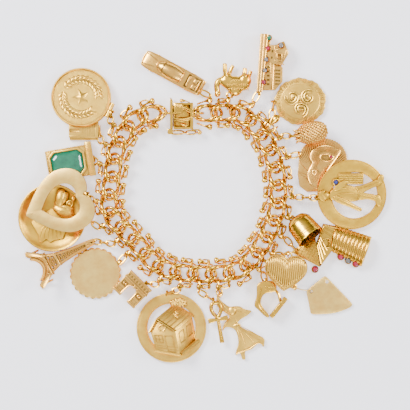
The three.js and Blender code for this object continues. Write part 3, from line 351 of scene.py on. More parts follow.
def skin(rows, thickness, edge=0.0):
    """A sheet through rows of points, given a thickness."""
    across = len(rows[0])
    faces = [
        (i * across + j, i * across + j + 1, (i + 1) * across + j + 1, (i + 1) * across + j)
        for i in range(len(rows) - 1)
        for j in range(across - 1)
    ]
    obj = from_faces([p for row in rows for p in row], faces)
    modify(obj, "SOLIDIFY", thickness=thickness, offset=0)
    return rounded(outward(obj), edge)


def turned(profile, sides=64):
    """A closed profile of [radius, height] turned about the upright axis."""
    count = len(profile)
    mesh = bpy.data.meshes.new("turned")
    mesh.from_pydata([(r, 0, z) for r, z in profile], [(i, (i + 1) % count) for i in range(count)], [])
    obj = linked("turned", mesh)
    modify(obj, "SCREW", steps=sides, render_steps=sides, use_merge_vertices=True, merge_threshold=0.001)
    pick([obj])
    bpy.ops.object.mode_set(mode="EDIT")
    bpy.ops.mesh.select_all(action="SELECT")
    bpy.ops.mesh.dissolve_degenerate(threshold=0.001)
    bpy.ops.object.mode_set(mode="OBJECT")
    return outward(obj)


def wires(lines, diameter, closed=False, sides=8, ends=1.0, sizes=None):
    """Round wire along each line of points; its ends may be thinner, or each point has its size."""
    curve = bpy.data.curves.new("wire", "CURVE")
    curve.dimensions = "3D"
    curve.bevel_depth = diameter / 2
    curve.bevel_resolution = max(0, (sides - 4) // 2)
    curve.use_fill_caps = True
    for line in lines:
        spline = curve.splines.new("POLY")
        spline.points.add(len(line) - 1)
        for i, (point, there) in enumerate(zip(spline.points, line)):
            point.co = (*there, 1)
            if sizes:
                point.radius = sizes[i]
            elif ends != 1.0:
                share = abs(2 * i / (len(line) - 1) - 1)
                point.radius = 1 + (ends - 1) * share
        spline.use_cyclic_u = closed
    pick([linked("wire", curve)])
    bpy.ops.object.convert(target="MESH")
    return bpy.context.object


def flow(points, steps=4, closed=True):
    """A smooth line through the points."""
    line = [Vector((*p, 0)) if len(p) == 2 else Vector(p) for p in points]
    count = len(line)
    made = []
    for i in range(count if closed else count - 1):
        a, b, c, d = (
            line[(i + k) % count] if closed else line[min(max(i + k, 0), count - 1)] for k in (-1, 0, 1, 2)
        )
        for k in range(steps):
            t = k / steps
            p = 0.5 * (
                2 * b + (c - a) * t + (
                    2 * a - 5 * b + 4 * c - d
                ) * t * t + (3 * b - a - 3 * c + d) * t * t * t
            )
            made.append(p)
    if not closed:
        made.append(line[-1])
    return [tuple(p[: len(points[0])]) for p in made]


def traced(lines, diameter, **look):
    """Round wire along a smooth open line through each list of points."""
    return wires([flow(line, 4, False) for line in lines], diameter, **look)


def soft_plate(points, low, high, edge):
    """A plate whose outline runs smoothly through the points."""
    return plate(flow(points), low, high, edge)


def circle(radius, sides=64, x=0, y=0):
    angles = [2 * math.pi * i / sides for i in range(sides)]
    return [(x + radius * math.cos(a), y + radius * math.sin(a)) for a in angles]


def lifted(points, z):
    return [(x, y, z) for x, y in points]


def circle3(x, y, z, radius):
    """A small circle at a height, for a wire round a seat."""
    return lifted(circle(radius, 20, x, y), z)


def lerp(a, b, share):
    return tuple(p + (q - p) * share for p, q in zip(a, b))


def oval(middle, along, normal, half_length, half_width, sides=22):
    """Points round an oval in the plane square to normal."""
    along = (along - along.project(normal)).normalized()
    across = normal.normalized().cross(along)
    return [
        tuple(
            middle
            + along * (half_length * math.cos(2 * math.pi * i / sides))
            + across * (half_width * math.sin(2 * math.pi * i / sides))
        )
        for i in range(sides)
    ]


def spread(count, radius, z):
    """Places round a circle, each turned to face outwards."""
    out = Matrix.Translation((radius, 0, z))
    return [Matrix.Rotation(math.radians(360 * i / count), 4, "Z") @ out for i in range(count)]


def cut(obj, *cutters):
    for cutter in cutters:
        modify(obj, "BOOLEAN", operation="DIFFERENCE", object=cutter, solver="EXACT")
        bpy.data.objects.remove(cutter)
    return obj


# Places


def route_shift():
    """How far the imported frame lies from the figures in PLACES."""
    low, high = (Vector(c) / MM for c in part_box("emerald_stone"))
    x, y, z, turn = PLACES["emerald_frame"][:4]
    inset = Matrix.Rotation(math.radians(turn), 3, "Z") @ Vector((STONE_SHIFT, 0, 0))
    middle = (low + high) / 2
    return Vector((middle.x - x - inset.x, middle.y - y - inset.y, low.z - z - 1.1))


SHIFT = route_shift()


def charm_frame(name):
    """The charm's place and turn, in millimetres."""
    x, y, z, turn, pitch, roll = PLACES[name]
    return (
        Matrix.Translation(Vector((x, y, z)) + SHIFT)
        @ Matrix.Rotation(math.radians(turn), 4, "Z")
        @ Matrix.Rotation(math.radians(pitch), 4, "X")
        @ Matrix.Rotation(math.radians(-roll), 4, "Y")
    )


def link_stations():
    """Each link's middle and its direction along the chain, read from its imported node."""
    middles, axes = [], []
    for i in range(1, LINKS + 1):
        points = np.array([v.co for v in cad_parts[f"link_{i:02d}"].data.vertices])[:, :2] / MM
        low, high = (Vector(c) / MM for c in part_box(f"link_{i:02d}"))
        middles.append((low + high) / 2)
        values, vectors = np.linalg.eigh(np.cov((points - points.mean(0)).T))
        axes.append(Vector((*vectors[:, int(np.argmax(values))], 0)))
    for i in range(LINKS):
        ahead = middles[min(i + 1, LINKS - 1)] - middles[max(i - 1, 0)]
        if axes[i].dot(ahead) < 0:
            axes[i].negate()
    return list(zip(middles, axes))


STATIONS = link_stations()


def station(number):
    """Middle, direction along and direction outwards at a link or between two."""
    first = int(math.floor(number)) - 1
    middle, along = STATIONS[first]
    if number % 1:
        after, along_after = STATIONS[first + 1]
        out = UP.cross((along + along_after).normalized())
        bulge = (after - middle).length * math.sin(along.angle(along_after) / 2) / 4
        turning = 1 if along.cross(along_after).z < 0 else -1
        middle = (middle + after) / 2 + out * bulge * turning
        along = (along + along_after).normalized()
    return middle, along, UP.cross(along)


def settle(name, parts, finish, nodes=(), body="bracelet", matrix=None, smooth=38):
    """Joins the parts, puts the piece in its place and gives it its finish."""
    obj = merged(parts)
    obj.name = name
    obj.data.name = name
    placed(obj, Matrix.Diagonal((MM, MM, MM, 1)) @ (matrix or Matrix.Identity(4)))
    pick([obj])
    bpy.ops.object.shade_smooth_by_angle(angle=math.radians(smooth))
    obj.data.materials.clear()
    obj.data.materials.append(finish)
    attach(obj, body)
    if nodes:
        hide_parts(*nodes)
    return obj


def charm(name, parts, finish, smooth=38):
    """Settles a charm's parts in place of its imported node."""
    return settle(name + "_charm", parts, finish, [name], "bracelet", charm_frame(name), smooth)


# Finishes


def blank_material(name, values):
    """A material whose shader has the given plain values, with its node tree and shader."""
    material = bpy.data.materials.new(name)
    material.use_nodes = True
    shader = material.node_tree.nodes["Principled BSDF"]
    for key, value in values.items():
        shader.inputs[key].default_value = value
    return material, material.node_tree, shader


def gold(name, colour, roughness, grain=0.0, stretch=(1, 1, 1), relief=0.25, dark=0.85, reach=0.9):
    """Gold with soft colour changes, fine scratches, and recesses darkened partly by patina and partly by
    painted shade.
    """
    plain = {"Metallic": 1.0, "Specular Tint": (0.30, 0.16, 0.03, 1)}
    material, tree, shader = blank_material(name, plain)
    link = tree.links.new

    def add(kind, **values):
        node = tree.nodes.new(kind)
        for key, value in values.items():
            if key in node.inputs:
                node.inputs[key].default_value = value
            else:
                setattr(node, key, value)
        return node

    place = add("ShaderNodeTexCoord")
    mapping = add("ShaderNodeMapping", Scale=stretch)
    link(place.outputs["Object"], mapping.inputs["Vector"])
    broad = add("ShaderNodeTexNoise", Scale=420.0, Detail=3.0, Roughness=0.55)
    fine = add("ShaderNodeTexNoise", Scale=1700.0, Detail=4.0, Roughness=0.6)
    link(place.outputs["Object"], broad.inputs["Vector"])
    link(mapping.outputs["Vector"], fine.inputs["Vector"])

    tint = add("ShaderNodeValToRGB")
    tint.color_ramp.elements[0].position = 0.3
    tint.color_ramp.elements[0].color = tuple(c * s for c, s in zip(colour, (0.88, 0.80, 0.66, 1)))
    tint.color_ramp.elements[1].position = 0.7
    tint.color_ramp.elements[1].color = tuple(min(1, c * 1.04) for c in colour)
    link(broad.outputs["Fac"], tint.inputs["Fac"])

    # Ambient occlusion mixes the recess colour into creases and hollows: partly patina, partly painted
    # shade
    recess = add("ShaderNodeAmbientOcclusion", samples=6, Distance=reach * MM)
    depth = add("ShaderNodeMapRange")
    depth.inputs["From Min"].default_value = 0.2
    depth.inputs["From Max"].default_value = 0.8
    depth.inputs["To Min"].default_value = dark
    depth.inputs["To Max"].default_value = 0.0
    link(recess.outputs["AO"], depth.inputs["Value"])
    mix = add("ShaderNodeMix", data_type="RGBA")
    mix.inputs[7].default_value = bpy.context.scene.bracelet_finishes.patina_and_shade
    link(depth.outputs["Result"], mix.inputs[0])
    link(tint.outputs["Color"], mix.inputs[6])
    link(mix.outputs[2], shader.inputs["Base Color"])

    rough = add("ShaderNodeMapRange")
    rough.inputs["To Min"].default_value = roughness * 0.75
    rough.inputs["To Max"].default_value = roughness * 1.3 + grain * 0.1
    link(fine.outputs["Fac"], rough.inputs["Value"])
    link(rough.outputs["Result"], shader.inputs["Roughness"])

    dents = add("ShaderNodeBump", Strength=relief * 0.5, Distance=0.12 * MM)
    scratches = add("ShaderNodeBump", Strength=relief, Distance=0.04 * MM)
    link(broad.outputs["Fac"], dents.inputs["Height"])
    link(fine.outputs["Fac"], scratches.inputs["Height"])
    link(dents.outputs["Normal"], scratches.inputs["Normal"])
    link(scratches.outputs["Normal"], shader.inputs["Normal"])
    return material


def gem(name, colour, clear=0.35):
    """Cut stone with soft cloudy changes of its colour."""
    plain = {
        "IOR": 1.6, "Roughness": 0.04, "Transmission Weight": clear, "Coat Weight": 0.6,
        "Coat Roughness": 0.03,
    }
    material, tree, shader = blank_material(name, plain)
    place = tree.nodes.new("ShaderNodeTexCoord")
    cloud = tree.nodes.new("ShaderNodeTexNoise")
    cloud.inputs["Scale"].default_value = 420.0
    tint = tree.nodes.new("ShaderNodeValToRGB")
    tint.color_ramp.elements[0].color = tuple(c * 0.45 for c in colour[:3]) + (1,)
    tint.color_ramp.elements[1].color = tuple(min(1, c * 1.7) for c in colour[:3]) + (1,)
    tree.links.new(place.outputs["Object"], cloud.inputs["Vector"])
    tree.links.new(cloud.outputs["Fac"], tint.inputs["Fac"])
    tree.links.new(tint.outputs["Color"], shader.inputs["Base Color"])
    return material


FINISH = {}


def make_finishes():
    looks = bpy.context.scene.bracelet_finishes
    FINISH["polished"] = gold("polished_gold", looks.polished, 0.2, relief=0.25)
    FINISH["satin"] = gold("satin_gold", looks.satin, 0.34, 0.4, (1, 5, 1), 0.45)
    FINISH["brushed"] = gold("brushed_gold", looks.brushed, 0.36, 0.6, (1, 1, 1), 0.6)
    FINISH["coin"] = gold("yellow_gold", looks.satin, 0.3, 0.5, (4, 1, 1), 0.5)
    # The cup's wide occlusion reach paints shade over its whole inside
    FINISH["cup"] = gold("cup_gold", looks.brushed, 0.22, 0.2, relief=0.3, dark=0.9, reach=7.0)
    FINISH["pale"] = gold("pale_gold", looks.pale, 0.36, 0.4, (1, 4, 1), 0.35)
    FINISH["rose"] = gold("rose_gold", looks.rose, 0.27, 0.2, relief=0.4)
    FINISH["green"] = gem("green_stone", looks.green)
    FINISH["red"] = gem("red_stone", looks.red)
    FINISH["blue"] = gem("blue_stone", looks.blue)
    FINISH["clear"] = gem("clear_stone", looks.clear, clear=0.8)


# Chain


def make_links(sizes):
    """Two wires side by side for each link, their sides rising and falling."""
    half = sizes.link_length / MM / 2
    side = sizes.link_width / MM / 2
    twist = sizes.link_twist / MM
    wire = sizes.link_wire / MM
    for i in range(1, LINKS + 1):
        middle, along, out = station(i)
        lines = []
        for lift, back, grow in ((-0.42, -1.6, 0.97), (0.42, 0.0, 1.02)):
            line = []
            for k in range(LINK_POINTS):
                u = 2 * math.pi * k / LINK_POINTS
                x = half * grow * math.cos(u) + back
                y = side * grow * math.copysign(abs(math.sin(u)) ** 1.12, math.sin(u))
                z = -twist * math.sin(2 * u) + lift * wire
                line.append(tuple(middle + along * x + out * y + Vector((0, 0, z))))
            lines.append(line)
        name = f"link_{i:02d}"
        settle(name + "_double_wire", [wires(lines, wire, True, 10)], FINISH["polished"], [name])


def make_edges(sizes):
    """One bead with a long tail beside each link, on both edges, and two small rings in each gap."""
    bead, wire = sizes.bead / MM, sizes.edge_wire / MM
    shape = [
        (1.05, 0.06), (0.98, 0.3), (0.82, 0.46), (0.5, 0.58), (0.15, 0.6), (-0.2, 0.52), (-0.6, 0.38),
        (-1.1, 0.25), (-1.7, 0.18), (-2.4, 0.16), (-3.1, 0.16), (-3.8, 0.16), (-4.3, 0.16),
    ]
    for side, name in ((-1, "edge_strand_inner"), (1, "edge_strand_outer")):
        parts, rings = [], []
        for i in range(1, LINKS + 1):
            middle, along, out = station(i)
            behind = station(i - 1)[0] - middle if i > 1 else along * -6
            out = out * side
            swing = 0.3 * math.sin(2.4 * i + side)
            line = []
            for s, _ in shape:
                share = max(0.0, (0.3 - s) / 4.6)
                path = along * s if s > -1 else along * -1 + behind.normalized() * (-1 - s)
                reach = STRAND_OFFSET + 0.1 + swing - 1.3 * share**1.5
                line.append(tuple(middle + path + out * reach + UP * (1.0 - 1.9 * share**2)))
            parts.append(wires([line], 2 * bead, False, 12, 1.0, [r for _, r in shape]))
            if i < LINKS:
                spot, way, across = station(i + 0.5)
                here = spot + across * side * (STRAND_OFFSET - 0.7) - UP * 0.9
                rings.append(oval(here, across * side, way + UP * 0.3, 1.3, 1.1, 18))
                rings.append(
                    oval(
                        here + across * side * 0.6 + way * 1.2, way, UP + across * side * 0.5, 1.6, 0.8, 18
                    )
                )
        parts.append(wires(rings, wire, True, 8))
        settle(name + "_beads", parts, FINISH["polished"], [name])


def ring_run(stops):
    """Oval rings, each through the next, from the first stop to the last."""
    lines = []
    turn = 0
    for a, b in zip(stops, stops[1:]):
        count = max(1, round((b - a).length / RING_STEP))
        for k in range(count):
            low, high = a.lerp(b, k / count), a.lerp(b, (k + 1) / count)
            step = high - low
            flat = UP if turn % 2 == 0 else step.cross(UP) + UP * 0.35
            lines.append(
                oval((low + high) / 2, step, flat, step.length / 2 + RING_OVERLAP, RING_HALF_WIDTH, 20)
            )
            turn += 1
    return lines


def make_rings(sizes):
    """For each charm a ring on the chain, a run of rings from it, and one through the charm's eye."""
    wire, radius = sizes.ring_wire / MM, sizes.ring_radius / MM
    for name, (number, eye, via) in HANGERS.items():
        middle, along, out = station(number)
        on_link = number % 1 == 0
        centre = middle + out * (LINK_RING_OFFSET if on_link else STRAND_OFFSET)
        reach = radius if on_link else SMALL_RING_RADIUS
        target = charm_frame(name) @ Vector(eye)
        stops = [Vector(v) + SHIFT for v in via] + [target]
        aim = stops[0] - centre
        aim = (aim - aim.project(along)).normalized() * (reach - 0.1)
        lines = [oval(centre, out, along, reach, reach, 30)]
        lines += ring_run([centre + aim, *stops])
        inside = charm_frame(name).to_3x3() @ Vector((1, 0, 0.2))
        lines.append(oval(target, target - stops[0] if via else aim, inside, 0.95, 0.8, 16))
        settle(name + "_rings", [wires(lines, wire, True, 8)], FINISH["polished"])


# Clasp


def make_clasp():
    """The box is dressed as one more link unit, and the thumb press stands over its corner."""
    here = Matrix.Translation(Vector(CLASP_MIDDLE) + SHIFT)
    left, right = -CLASP_HALF + 1.3, CLASP_HALF
    width, inner = right - left, -5.6
    middle = (left + right) / 2
    case = box((width, 9.2, 3.6), (middle, -1.0, -1.8), edge=0.3)
    cut(
        case,
        box((width, 8.0, 2.4), (middle - 0.6, -1.0, -1.2), edge=0),
        box((width - 1.2, 7.8, 3.0), (middle - 0.4, -1.0, 0.2), edge=0.3),
    )
    arcs = []
    for y, reach, high in ((1.9, 2.2, 1.55), (2.5, 2.0, 1.95)):
        arcs.append(
            [
                (-2.4 + 6.6 * t, y - reach * t * t - 0.1, high - 0.9 * abs(t - 0.4))
                for t in (k / 14 for k in range(15))
            ]
        )
    for y, high in ((-1.9, 1.6), (-2.5, 1.2)):
        arcs.append(
            [(-2.6 + 6.4 * t, y + 2.0 * (t - 0.35) ** 2 - 0.2, high) for t in (k / 14 for k in range(15))]
        )
    tail = [
        (0.9, 0.06), (0.8, 0.36), (0.5, 0.56), (0.1, 0.6), (-0.4, 0.5), (-0.9, 0.33), (-1.5, 0.2),
        (-2.2, 0.15), (-3.0, 0.14),
    ]
    inner_bead = wires(
        [[(1.2 + s, -4.35 + 0.16 * s * s * (s < 0), 1.7) for s, _ in tail]], 2.0, False, 12, 1,
        [r for _, r in tail],
    )
    outer_bead = wires(
        [[(0.2 - s, 4.3 - 0.1 * s * s * (s < 0), 1.6) for s, _ in tail]], 2.1, False, 12, 1,
        [r for _, r in tail],
    )
    tongue_face = box((3.2, 2.4, 0.5), (0.6, -0.4, 0.2), edge=0.15)
    dress = [wires(arcs, 0.8, sides=10), inner_bead, outer_bead, tongue_face]
    stalk = wires(
        [[(right - 0.6, inner + 0.2, 0), (right, inner - 0.25, 0), (right + 2.2, inner - 0.25, 0)]], 0.56
    )
    knob = ball((0.85, 0.85, 0.85), (right + 2.2, inner - 1.15, 0))
    eyes = [
        wires([oval(Vector((x, 0, 0)), EAST, NORTH, 2.0, 2.0, 28)], 0.76, True, 10)
        for x in (5.575, -5.575)
    ]
    settle(
        "clasp_box_body", [case, stalk, knob, eyes[0], *dress], FINISH["polished"], ["clasp_box"],
        matrix=here,
    )

    outline = [
        (-CLASP_HALF, -5.55), (-CLASP_HALF + 1.0, -5.3), (-CLASP_HALF + 1.0, 4.3), (-CLASP_HALF + 0.2, 5.6),
        (-CLASP_HALF, 4.4),
    ]
    back = plate(outline, -2.0, 2.0, 0.2)
    blades = [
        box((6.2, 7.4, 0.5), (0.1, -1.0, -0.9), edge=0.1),
        box((1.5, 1.6, 1.6), (-1.0, 1.2, 0.4), edge=0.1),
        box((5.0, 3.1, 0.5), (-0.6, 1.15, 0.3), edge=0.1),
    ]
    press = soft_plate(
        [
            (-2.4, 0.1), (-0.6, -0.2), (0.5, 0.4), (0.7, 1.6), (0.4, 3.0), (-0.9, 3.5), (-2.4, 3.2),
            (-2.8, 1.6),
        ],
        1.9, 2.7, 0.3,
    )
    grip = [box((0.2, 2.7, 0.2), (-2.0 + 0.42 * i, 1.6, 2.62), edge=0.06) for i in range(6)]
    lugs = [box((1.8, 1.9, 0.6), (-CLASP_HALF + 0.1, -6.4, z), edge=0.15) for z in (0.95, -1.55)]
    settle(
        "clasp_tongue_body", [back, *blades, press, *grip, *lugs, eyes[1]], FINISH["polished"],
        ["clasp_tongue"], matrix=here,
    )

    hinge, y = -CLASP_HALF - CATCH_HINGE_GAP, -6.75
    loops = []
    for x0, x1 in ((-3.9, 0.9), (1.5, 5.1)):
        loops.append(
            oval(Vector(((x0 + x1) / 2, y, 0)), EAST, Vector((0, 0.8, 0.6)), (x1 - x0) / 2, 1.1, 28)
        )
    bars = [[(hinge, y, 0.3), (-3.4, y, 0.3)], [(0.8, y, 0), (1.6, y, 0)]]
    knuckle = moved(
        turned([(0, -0.65), (0.62, -0.65), (0.65, -0.5), (0.65, 0.5), (0.62, 0.65), (0, 0.65)], 20), hinge,
        y,
    )
    parts = [wires(loops, 0.62, True, 10), wires(bars, 0.62), knuckle]
    settle("safety_catch_loop", parts, FINISH["polished"], ["safety_catch"], body="catch", matrix=here)


# Round charms


def make_coin():
    body = turned(
        [
            (0, 0), (10.2, 0), (10.5, 0.25), (10.5, 1.65), (10.35, 1.9), (10.05, 1.9), (9.85, 1.7),
            (9.75, 1.3), (0, 1.3),
        ],
        96,
    )
    beads = copies(ball((0.14, 0.14, 0.1), segments=8, rings=6), spread(96, 9.3, 1.33))
    star = []
    for i in range(10):
        reach = 3.6 if i % 2 == 0 else 1.5
        star.append((reach * math.cos(math.pi * i / 5 + 0.1), reach * math.sin(math.pi * i / 5 + 0.1)))
    star = frustum(lifted(star, 1.25), [(0.12 * x, 0.12 * y, 2.0) for x, y in star], 0)
    leaf = ball((0.5, 1.25, 0.28), segments=12, rings=6)
    sprays = []
    for i in range(12):
        for side in (-1, 1):
            turn = Matrix.Rotation(math.radians(-90 + side * (16 + 12.5 * i)), 4, "Z")
            for reach, lean in ((7.2, 34), (5.4, -34)):
                tilt = Matrix.Rotation(math.radians(-side * lean), 4, "Z")
                sprays.append(turn @ Matrix.Translation((reach, 0, 1.32)) @ tilt)
    stems = [
        [
            (6.3 * math.cos(math.radians(-90 + s * a)), 6.3 * math.sin(math.radians(-90 + s * a)), 1.4)
            for a in range(6, 160, 7)
        ]
        for s in (-1, 1)
    ]
    hinge = [wires([[(x, 11.0, 0.9), (x + 2.5, 11.0, 0.9)]], 1.6, sides=14) for x in (-2.65, 0.15)]
    charm(
        "coin", [body, *beads, star, *copies(leaf, sprays), wires(stems, 0.35), *hinge], FINISH["coin"],
    )


def make_scalloped_disc():
    rim, inner = [], []
    for i in range(192):
        a = 2 * math.pi * i / 192
        wave = abs(math.cos(12 * a))
        rim.append(((8.55 + 0.55 * wave) * math.cos(a), (8.55 + 0.55 * wave) * math.sin(a)))
        inner.append(((8.1 + 0.35 * wave) * math.cos(a), (8.1 + 0.35 * wave) * math.sin(a)))
    body = plate(rim, 0, 0.75, 0.1)
    top = frustum(lifted(rim, 0.7), lifted(inner, 1.25), 0)
    eye = wires([oval(Vector((0, 9.3, 0.6)), NORTH, UP, 0.9, 0.9)], 0.5, True)
    charm("scalloped_disc", [body, top, eye], FINISH["pale"])


def make_dish():
    r = 11.9
    profile = flow(
        [
            (0, 0), (r * 0.35, 0.02), (r * 0.62, 0.2), (r * 0.84, 0.9), (r * 0.97, 2.1), (r, 2.45),
            (r * 0.98, 2.62), (r * 0.94, 2.5), (r * 0.82, 1.6), (r * 0.6, 0.95), (r * 0.35, 0.8), (0, 0.8),
        ],
        3, False,
    )
    bowl = turned(profile, 96)
    lip = wires([lifted(circle(r - 0.25, 96), 2.5)], 0.45, True)
    hem = [
        (-7.4, -1.4), (-4.6, -6.4), (-4.4, -8.5), (-3.8, -8.9), (-2.0, -7.3), (-1.0, -8.5), (-0.5, -8.6),
        (0.6, -7.9), (3.7, -7.3), (4.6, -5.2), (6.2, 0.4), (0, 3.4),
    ]
    skirt = plate(hem, 1.3, 1.9, 0.15)
    folds = [
        [(0.6 + 0.25 * x, -0.2, 1.95), (x * 0.8, -4.0, 2.0), (x, -7.2, 1.9)]
        for x in (-4.4, -2.9, -1.4, 0.2, 1.8, 3.4)
    ]
    tall = melted([ball((1.9, 3.3, 1.5), (3.0, 7.0, 2.3), -8), ball((1.3, 2.4, 1.2), (4.3, 6.8, 2.3), -24),
                   ball((1.6, 2.0, 1.1), (2.4, 5.0, 2.2), 20)], 0.2, 1)
    wide = melted([ball((3.6, 2.1, 1.5), (4.2, 2.0, 2.3), -24), ball((2.6, 1.3, 1.2), (5.0, 3.4, 2.3), -10),
                   ball((1.7, 1.6, 1.1), (2.0, 3.2, 2.1), 0)], 0.2, 1)
    veins = [
        [(2.0, 4.2, 3.0), (2.6, 6.8, 3.8), (3.2, 9.8, 2.9)],
        [(3.4, 4.4, 3.2), (4.0, 6.8, 3.6), (4.6, 9.0, 3.0)],
        [(1.5, 3.0, 3.1), (4.0, 2.0, 3.8), (6.9, 0.6, 2.9)],
        [(3.0, 4.0, 3.2), (5.0, 3.4, 3.6), (7.2, 2.6, 2.9)],
    ]
    beads = [
        wires([circle3(6.2, 4.9, 2.7, 1.0)], 0.5, True), ball((0.7, 0.7, 0.7), (6.2, 4.9, 2.8)),
        ball((0.8, 0.8, 0.7), (7.4, 6.7, 2.6)),
    ]
    veins = traced(veins, 0.5, ends=0.4)
    folds = traced(folds, 0.4, ends=0.5)
    charm("dish", [bowl, lip, skirt, folds, tall, wide, veins, *beads], FINISH["brushed"])


def make_medallion():
    rim = []
    for i in range(160):
        a = 2 * math.pi * i / 160
        wave = 0.16 * math.sin(9 * a + 1) + 0.1 * math.sin(23 * a)
        rim.append(((8.2 + wave) * math.cos(a), (8.95 + wave) * math.sin(a)))
    body = plate(rim, 0, 1.4, 0.22)
    ticks = []
    for i in range(64):
        if i % 16 in (0, 9):
            continue
        a = 2 * math.pi * i / 64
        inner = 6.75 if i % 3 else 7.1
        ticks.append(
            [
                (inner * math.cos(a), inner * 1.09 * math.sin(a), 1.5),
                (7.8 * math.cos(a), 8.5 * math.sin(a), 1.42),
            ]
        )
    scrolls = []
    for turn in (60, 180, 300):
        for start_reach, rise in ((2.9, 1.8), (2.0, 1.65)):
            line = []
            for k in range(26):
                a = math.radians(turn + 13 * k + 20)
                reach = start_reach - 0.055 * k
                centre = (2.9 * math.cos(math.radians(turn)), 3.2 * math.sin(math.radians(turn)))
                line.append((centre[0] + reach * math.cos(a), centre[1] + reach * math.sin(a), rise))
            scrolls.append(line)
    inner = lifted(
        [(6.2 * math.cos(math.pi * a / 48), 6.8 * math.sin(math.pi * a / 48)) for a in range(96)], 1.42
    )
    petals = [
        ball((0.55, 1.2, 0.4), (2.9 * math.cos(math.radians(t)), 3.2 * math.sin(math.radians(t)), 1.6), t)
        for t in (60, 180, 300)
    ]
    petals += [
        ball((1.5, 0.5, 0.4), (1.2 * math.cos(math.radians(t)), 1.2 * math.sin(math.radians(t)), 1.5), t)
        for t in (0, 120, 240)
    ]
    parts = [
        body, wires(ticks, 0.4, sides=6), wires(scrolls, 0.8, ends=0.5), wires([inner], 0.22, True), *petals
    ]
    charm("medallion", parts, FINISH["satin"])


# Open rings


def make_cottage():
    ring = band(circle(12.25, 112), circle(8.4, 112), 0, 1.4, 0.2)
    lines = wires([lifted(circle(r, 96), 1.4) for r in (11.7, 8.95)], 0.18, True, 6)
    s = 8.6 / 8.2
    front = [
        (-5.2 * s, -6.9 * s, 5.9), (2.8 * s, -8.4 * s, 5.9), (1.3 * s, -0.4 * s, 5.9),
        (-4.6 * s, 3.4 * s, 5.9), (-7.0 * s, -1.0 * s, 5.9),
    ]
    depth = Vector((5.6 * s, 4.5 * s, -4.8))
    back = [tuple(Vector(p) + depth) for p in front]
    house = frustum(front, back, 0.12)
    foot_left, foot_right, eave_right, ridge, eave_left = (Vector(p) for p in front)
    overhang = depth.normalized() * 0.6
    sheets = []
    for eave in (eave_right, eave_left):
        slope = (eave - ridge).normalized() * 0.7
        rows = [[ridge - overhang, eave + slope - overhang], [ridge + depth, eave + slope + depth]]
        rows = [[p + Vector((0.25, 0.35, 0.25)) for p in row] for row in rows]
        sheets.append(skin([[tuple(p) for p in row] for row in rows], 0.5, 0.12))
    ribs = []
    for share in (0.12, 0.32, 0.52, 0.72, 0.92):
        for eave in (eave_right, eave_left):
            begin = ridge.lerp(eave, share) + Vector((0.25, 0.35, 0.55))
            ribs.append([tuple(begin - overhang * 0.8), tuple(begin + depth)])
    edge = [tuple(p + Vector((0, 0, 0.3)) - overhang) for p in (eave_left, ridge, eave_right)]

    def on_front(u, v, z=0.0):
        low = foot_left.lerp(foot_right, u)
        high = eave_left.lerp(eave_right, u)
        return tuple(low.lerp(high, v) + Vector((0, 0, z)))

    def on_side(u, v, lift=0.0):
        low = foot_right.lerp(foot_right + depth, u)
        high = eave_right.lerp(eave_right + depth, u)
        return tuple(low.lerp(high, v) + Vector((0.9, -0.3, 0.45)).normalized() * lift)

    door = [on_front(*p, 0.12) for p in ((0.52, 0.02), (0.86, 0.02), (0.86, 0.74), (0.52, 0.74))]
    glass = [on_front(*p, 0.12) for p in ((0.12, 0.4), (0.42, 0.4), (0.42, 0.78), (0.12, 0.78))]
    bars = [
        [on_front(0.27, 0.4, 0.12), on_front(0.27, 0.78, 0.12)],
        [on_front(0.12, 0.58, 0.12), on_front(0.42, 0.58, 0.12)],
    ]
    sides = [
        [on_side(*p, 0.1) for p in c]
        for c in (
            ((0.15, 0.35), (0.42, 0.35), (0.42, 0.78), (0.15, 0.78)),
            ((0.58, 0.35), (0.85, 0.35), (0.85, 0.78), (0.58, 0.78)),
        )
    ]
    boards = [[on_front(0.02, v, 0.02), on_front(0.98, v, 0.02)] for v in (0.12, 0.24)]
    wreath = oval(eave_left.lerp(eave_right, 0.45) + Vector((0.2, 1.0, 0.25)), EAST, UP, 1.1, 1.1)
    steps = [
        wires(
            [
                [
                    tuple(foot_left + Vector((-0.2, -0.5, -0.4))),
                    tuple(foot_right + Vector((0.4, -0.5, -0.4))),
                ],
            ],
            1.2,
        ),
        wires(
            [
                [
                    tuple(foot_right + Vector((0.6, -0.3, -0.5))),
                    tuple(foot_right + depth + Vector((0.6, -0.3, 0.2))),
                ],
            ],
            1.5,
        ),
    ]
    leaf = ball((0.75, 0.42, 0.3), segments=10, rings=6)
    vines = []
    for k in range(34):
        a, r = 2.4 * k, 0.42 * math.sqrt(k)
        spot = (2.6 + 1.25 * r * math.cos(a), 8.7 + 0.62 * r * math.sin(a), 1.5 + 0.05 * (k % 7))
        vines.append(Matrix.Translation(spot) @ Matrix.Rotation(a, 4, "Z") @ Matrix.Rotation(0.5, 4, "Y"))
    for k in range(12):
        spot = (1.2 + 0.25 * (k % 4), 7.0 - 0.28 * k, 1.7 + 0.25 * k)
        vines.append(Matrix.Translation(spot) @ Matrix.Rotation(1.9 * k, 4, "Z"))
    parts = [
        ring, lines, house, *sheets, wires(ribs, 0.42), wires([edge], 0.6),
        wires([door, glass, *sides], 0.36, True, 6), wires(bars, 0.22, sides=6),
        wires(boards, 0.25, sides=6), wires([wreath], 0.5, True), *steps, *copies(leaf, vines),
        ball((0.2, 0.2, 0.2), on_front(0.8, 0.36, 0.15), segments=8, rings=6),
    ]
    charm("cottage_disc", parts, FINISH["satin"])


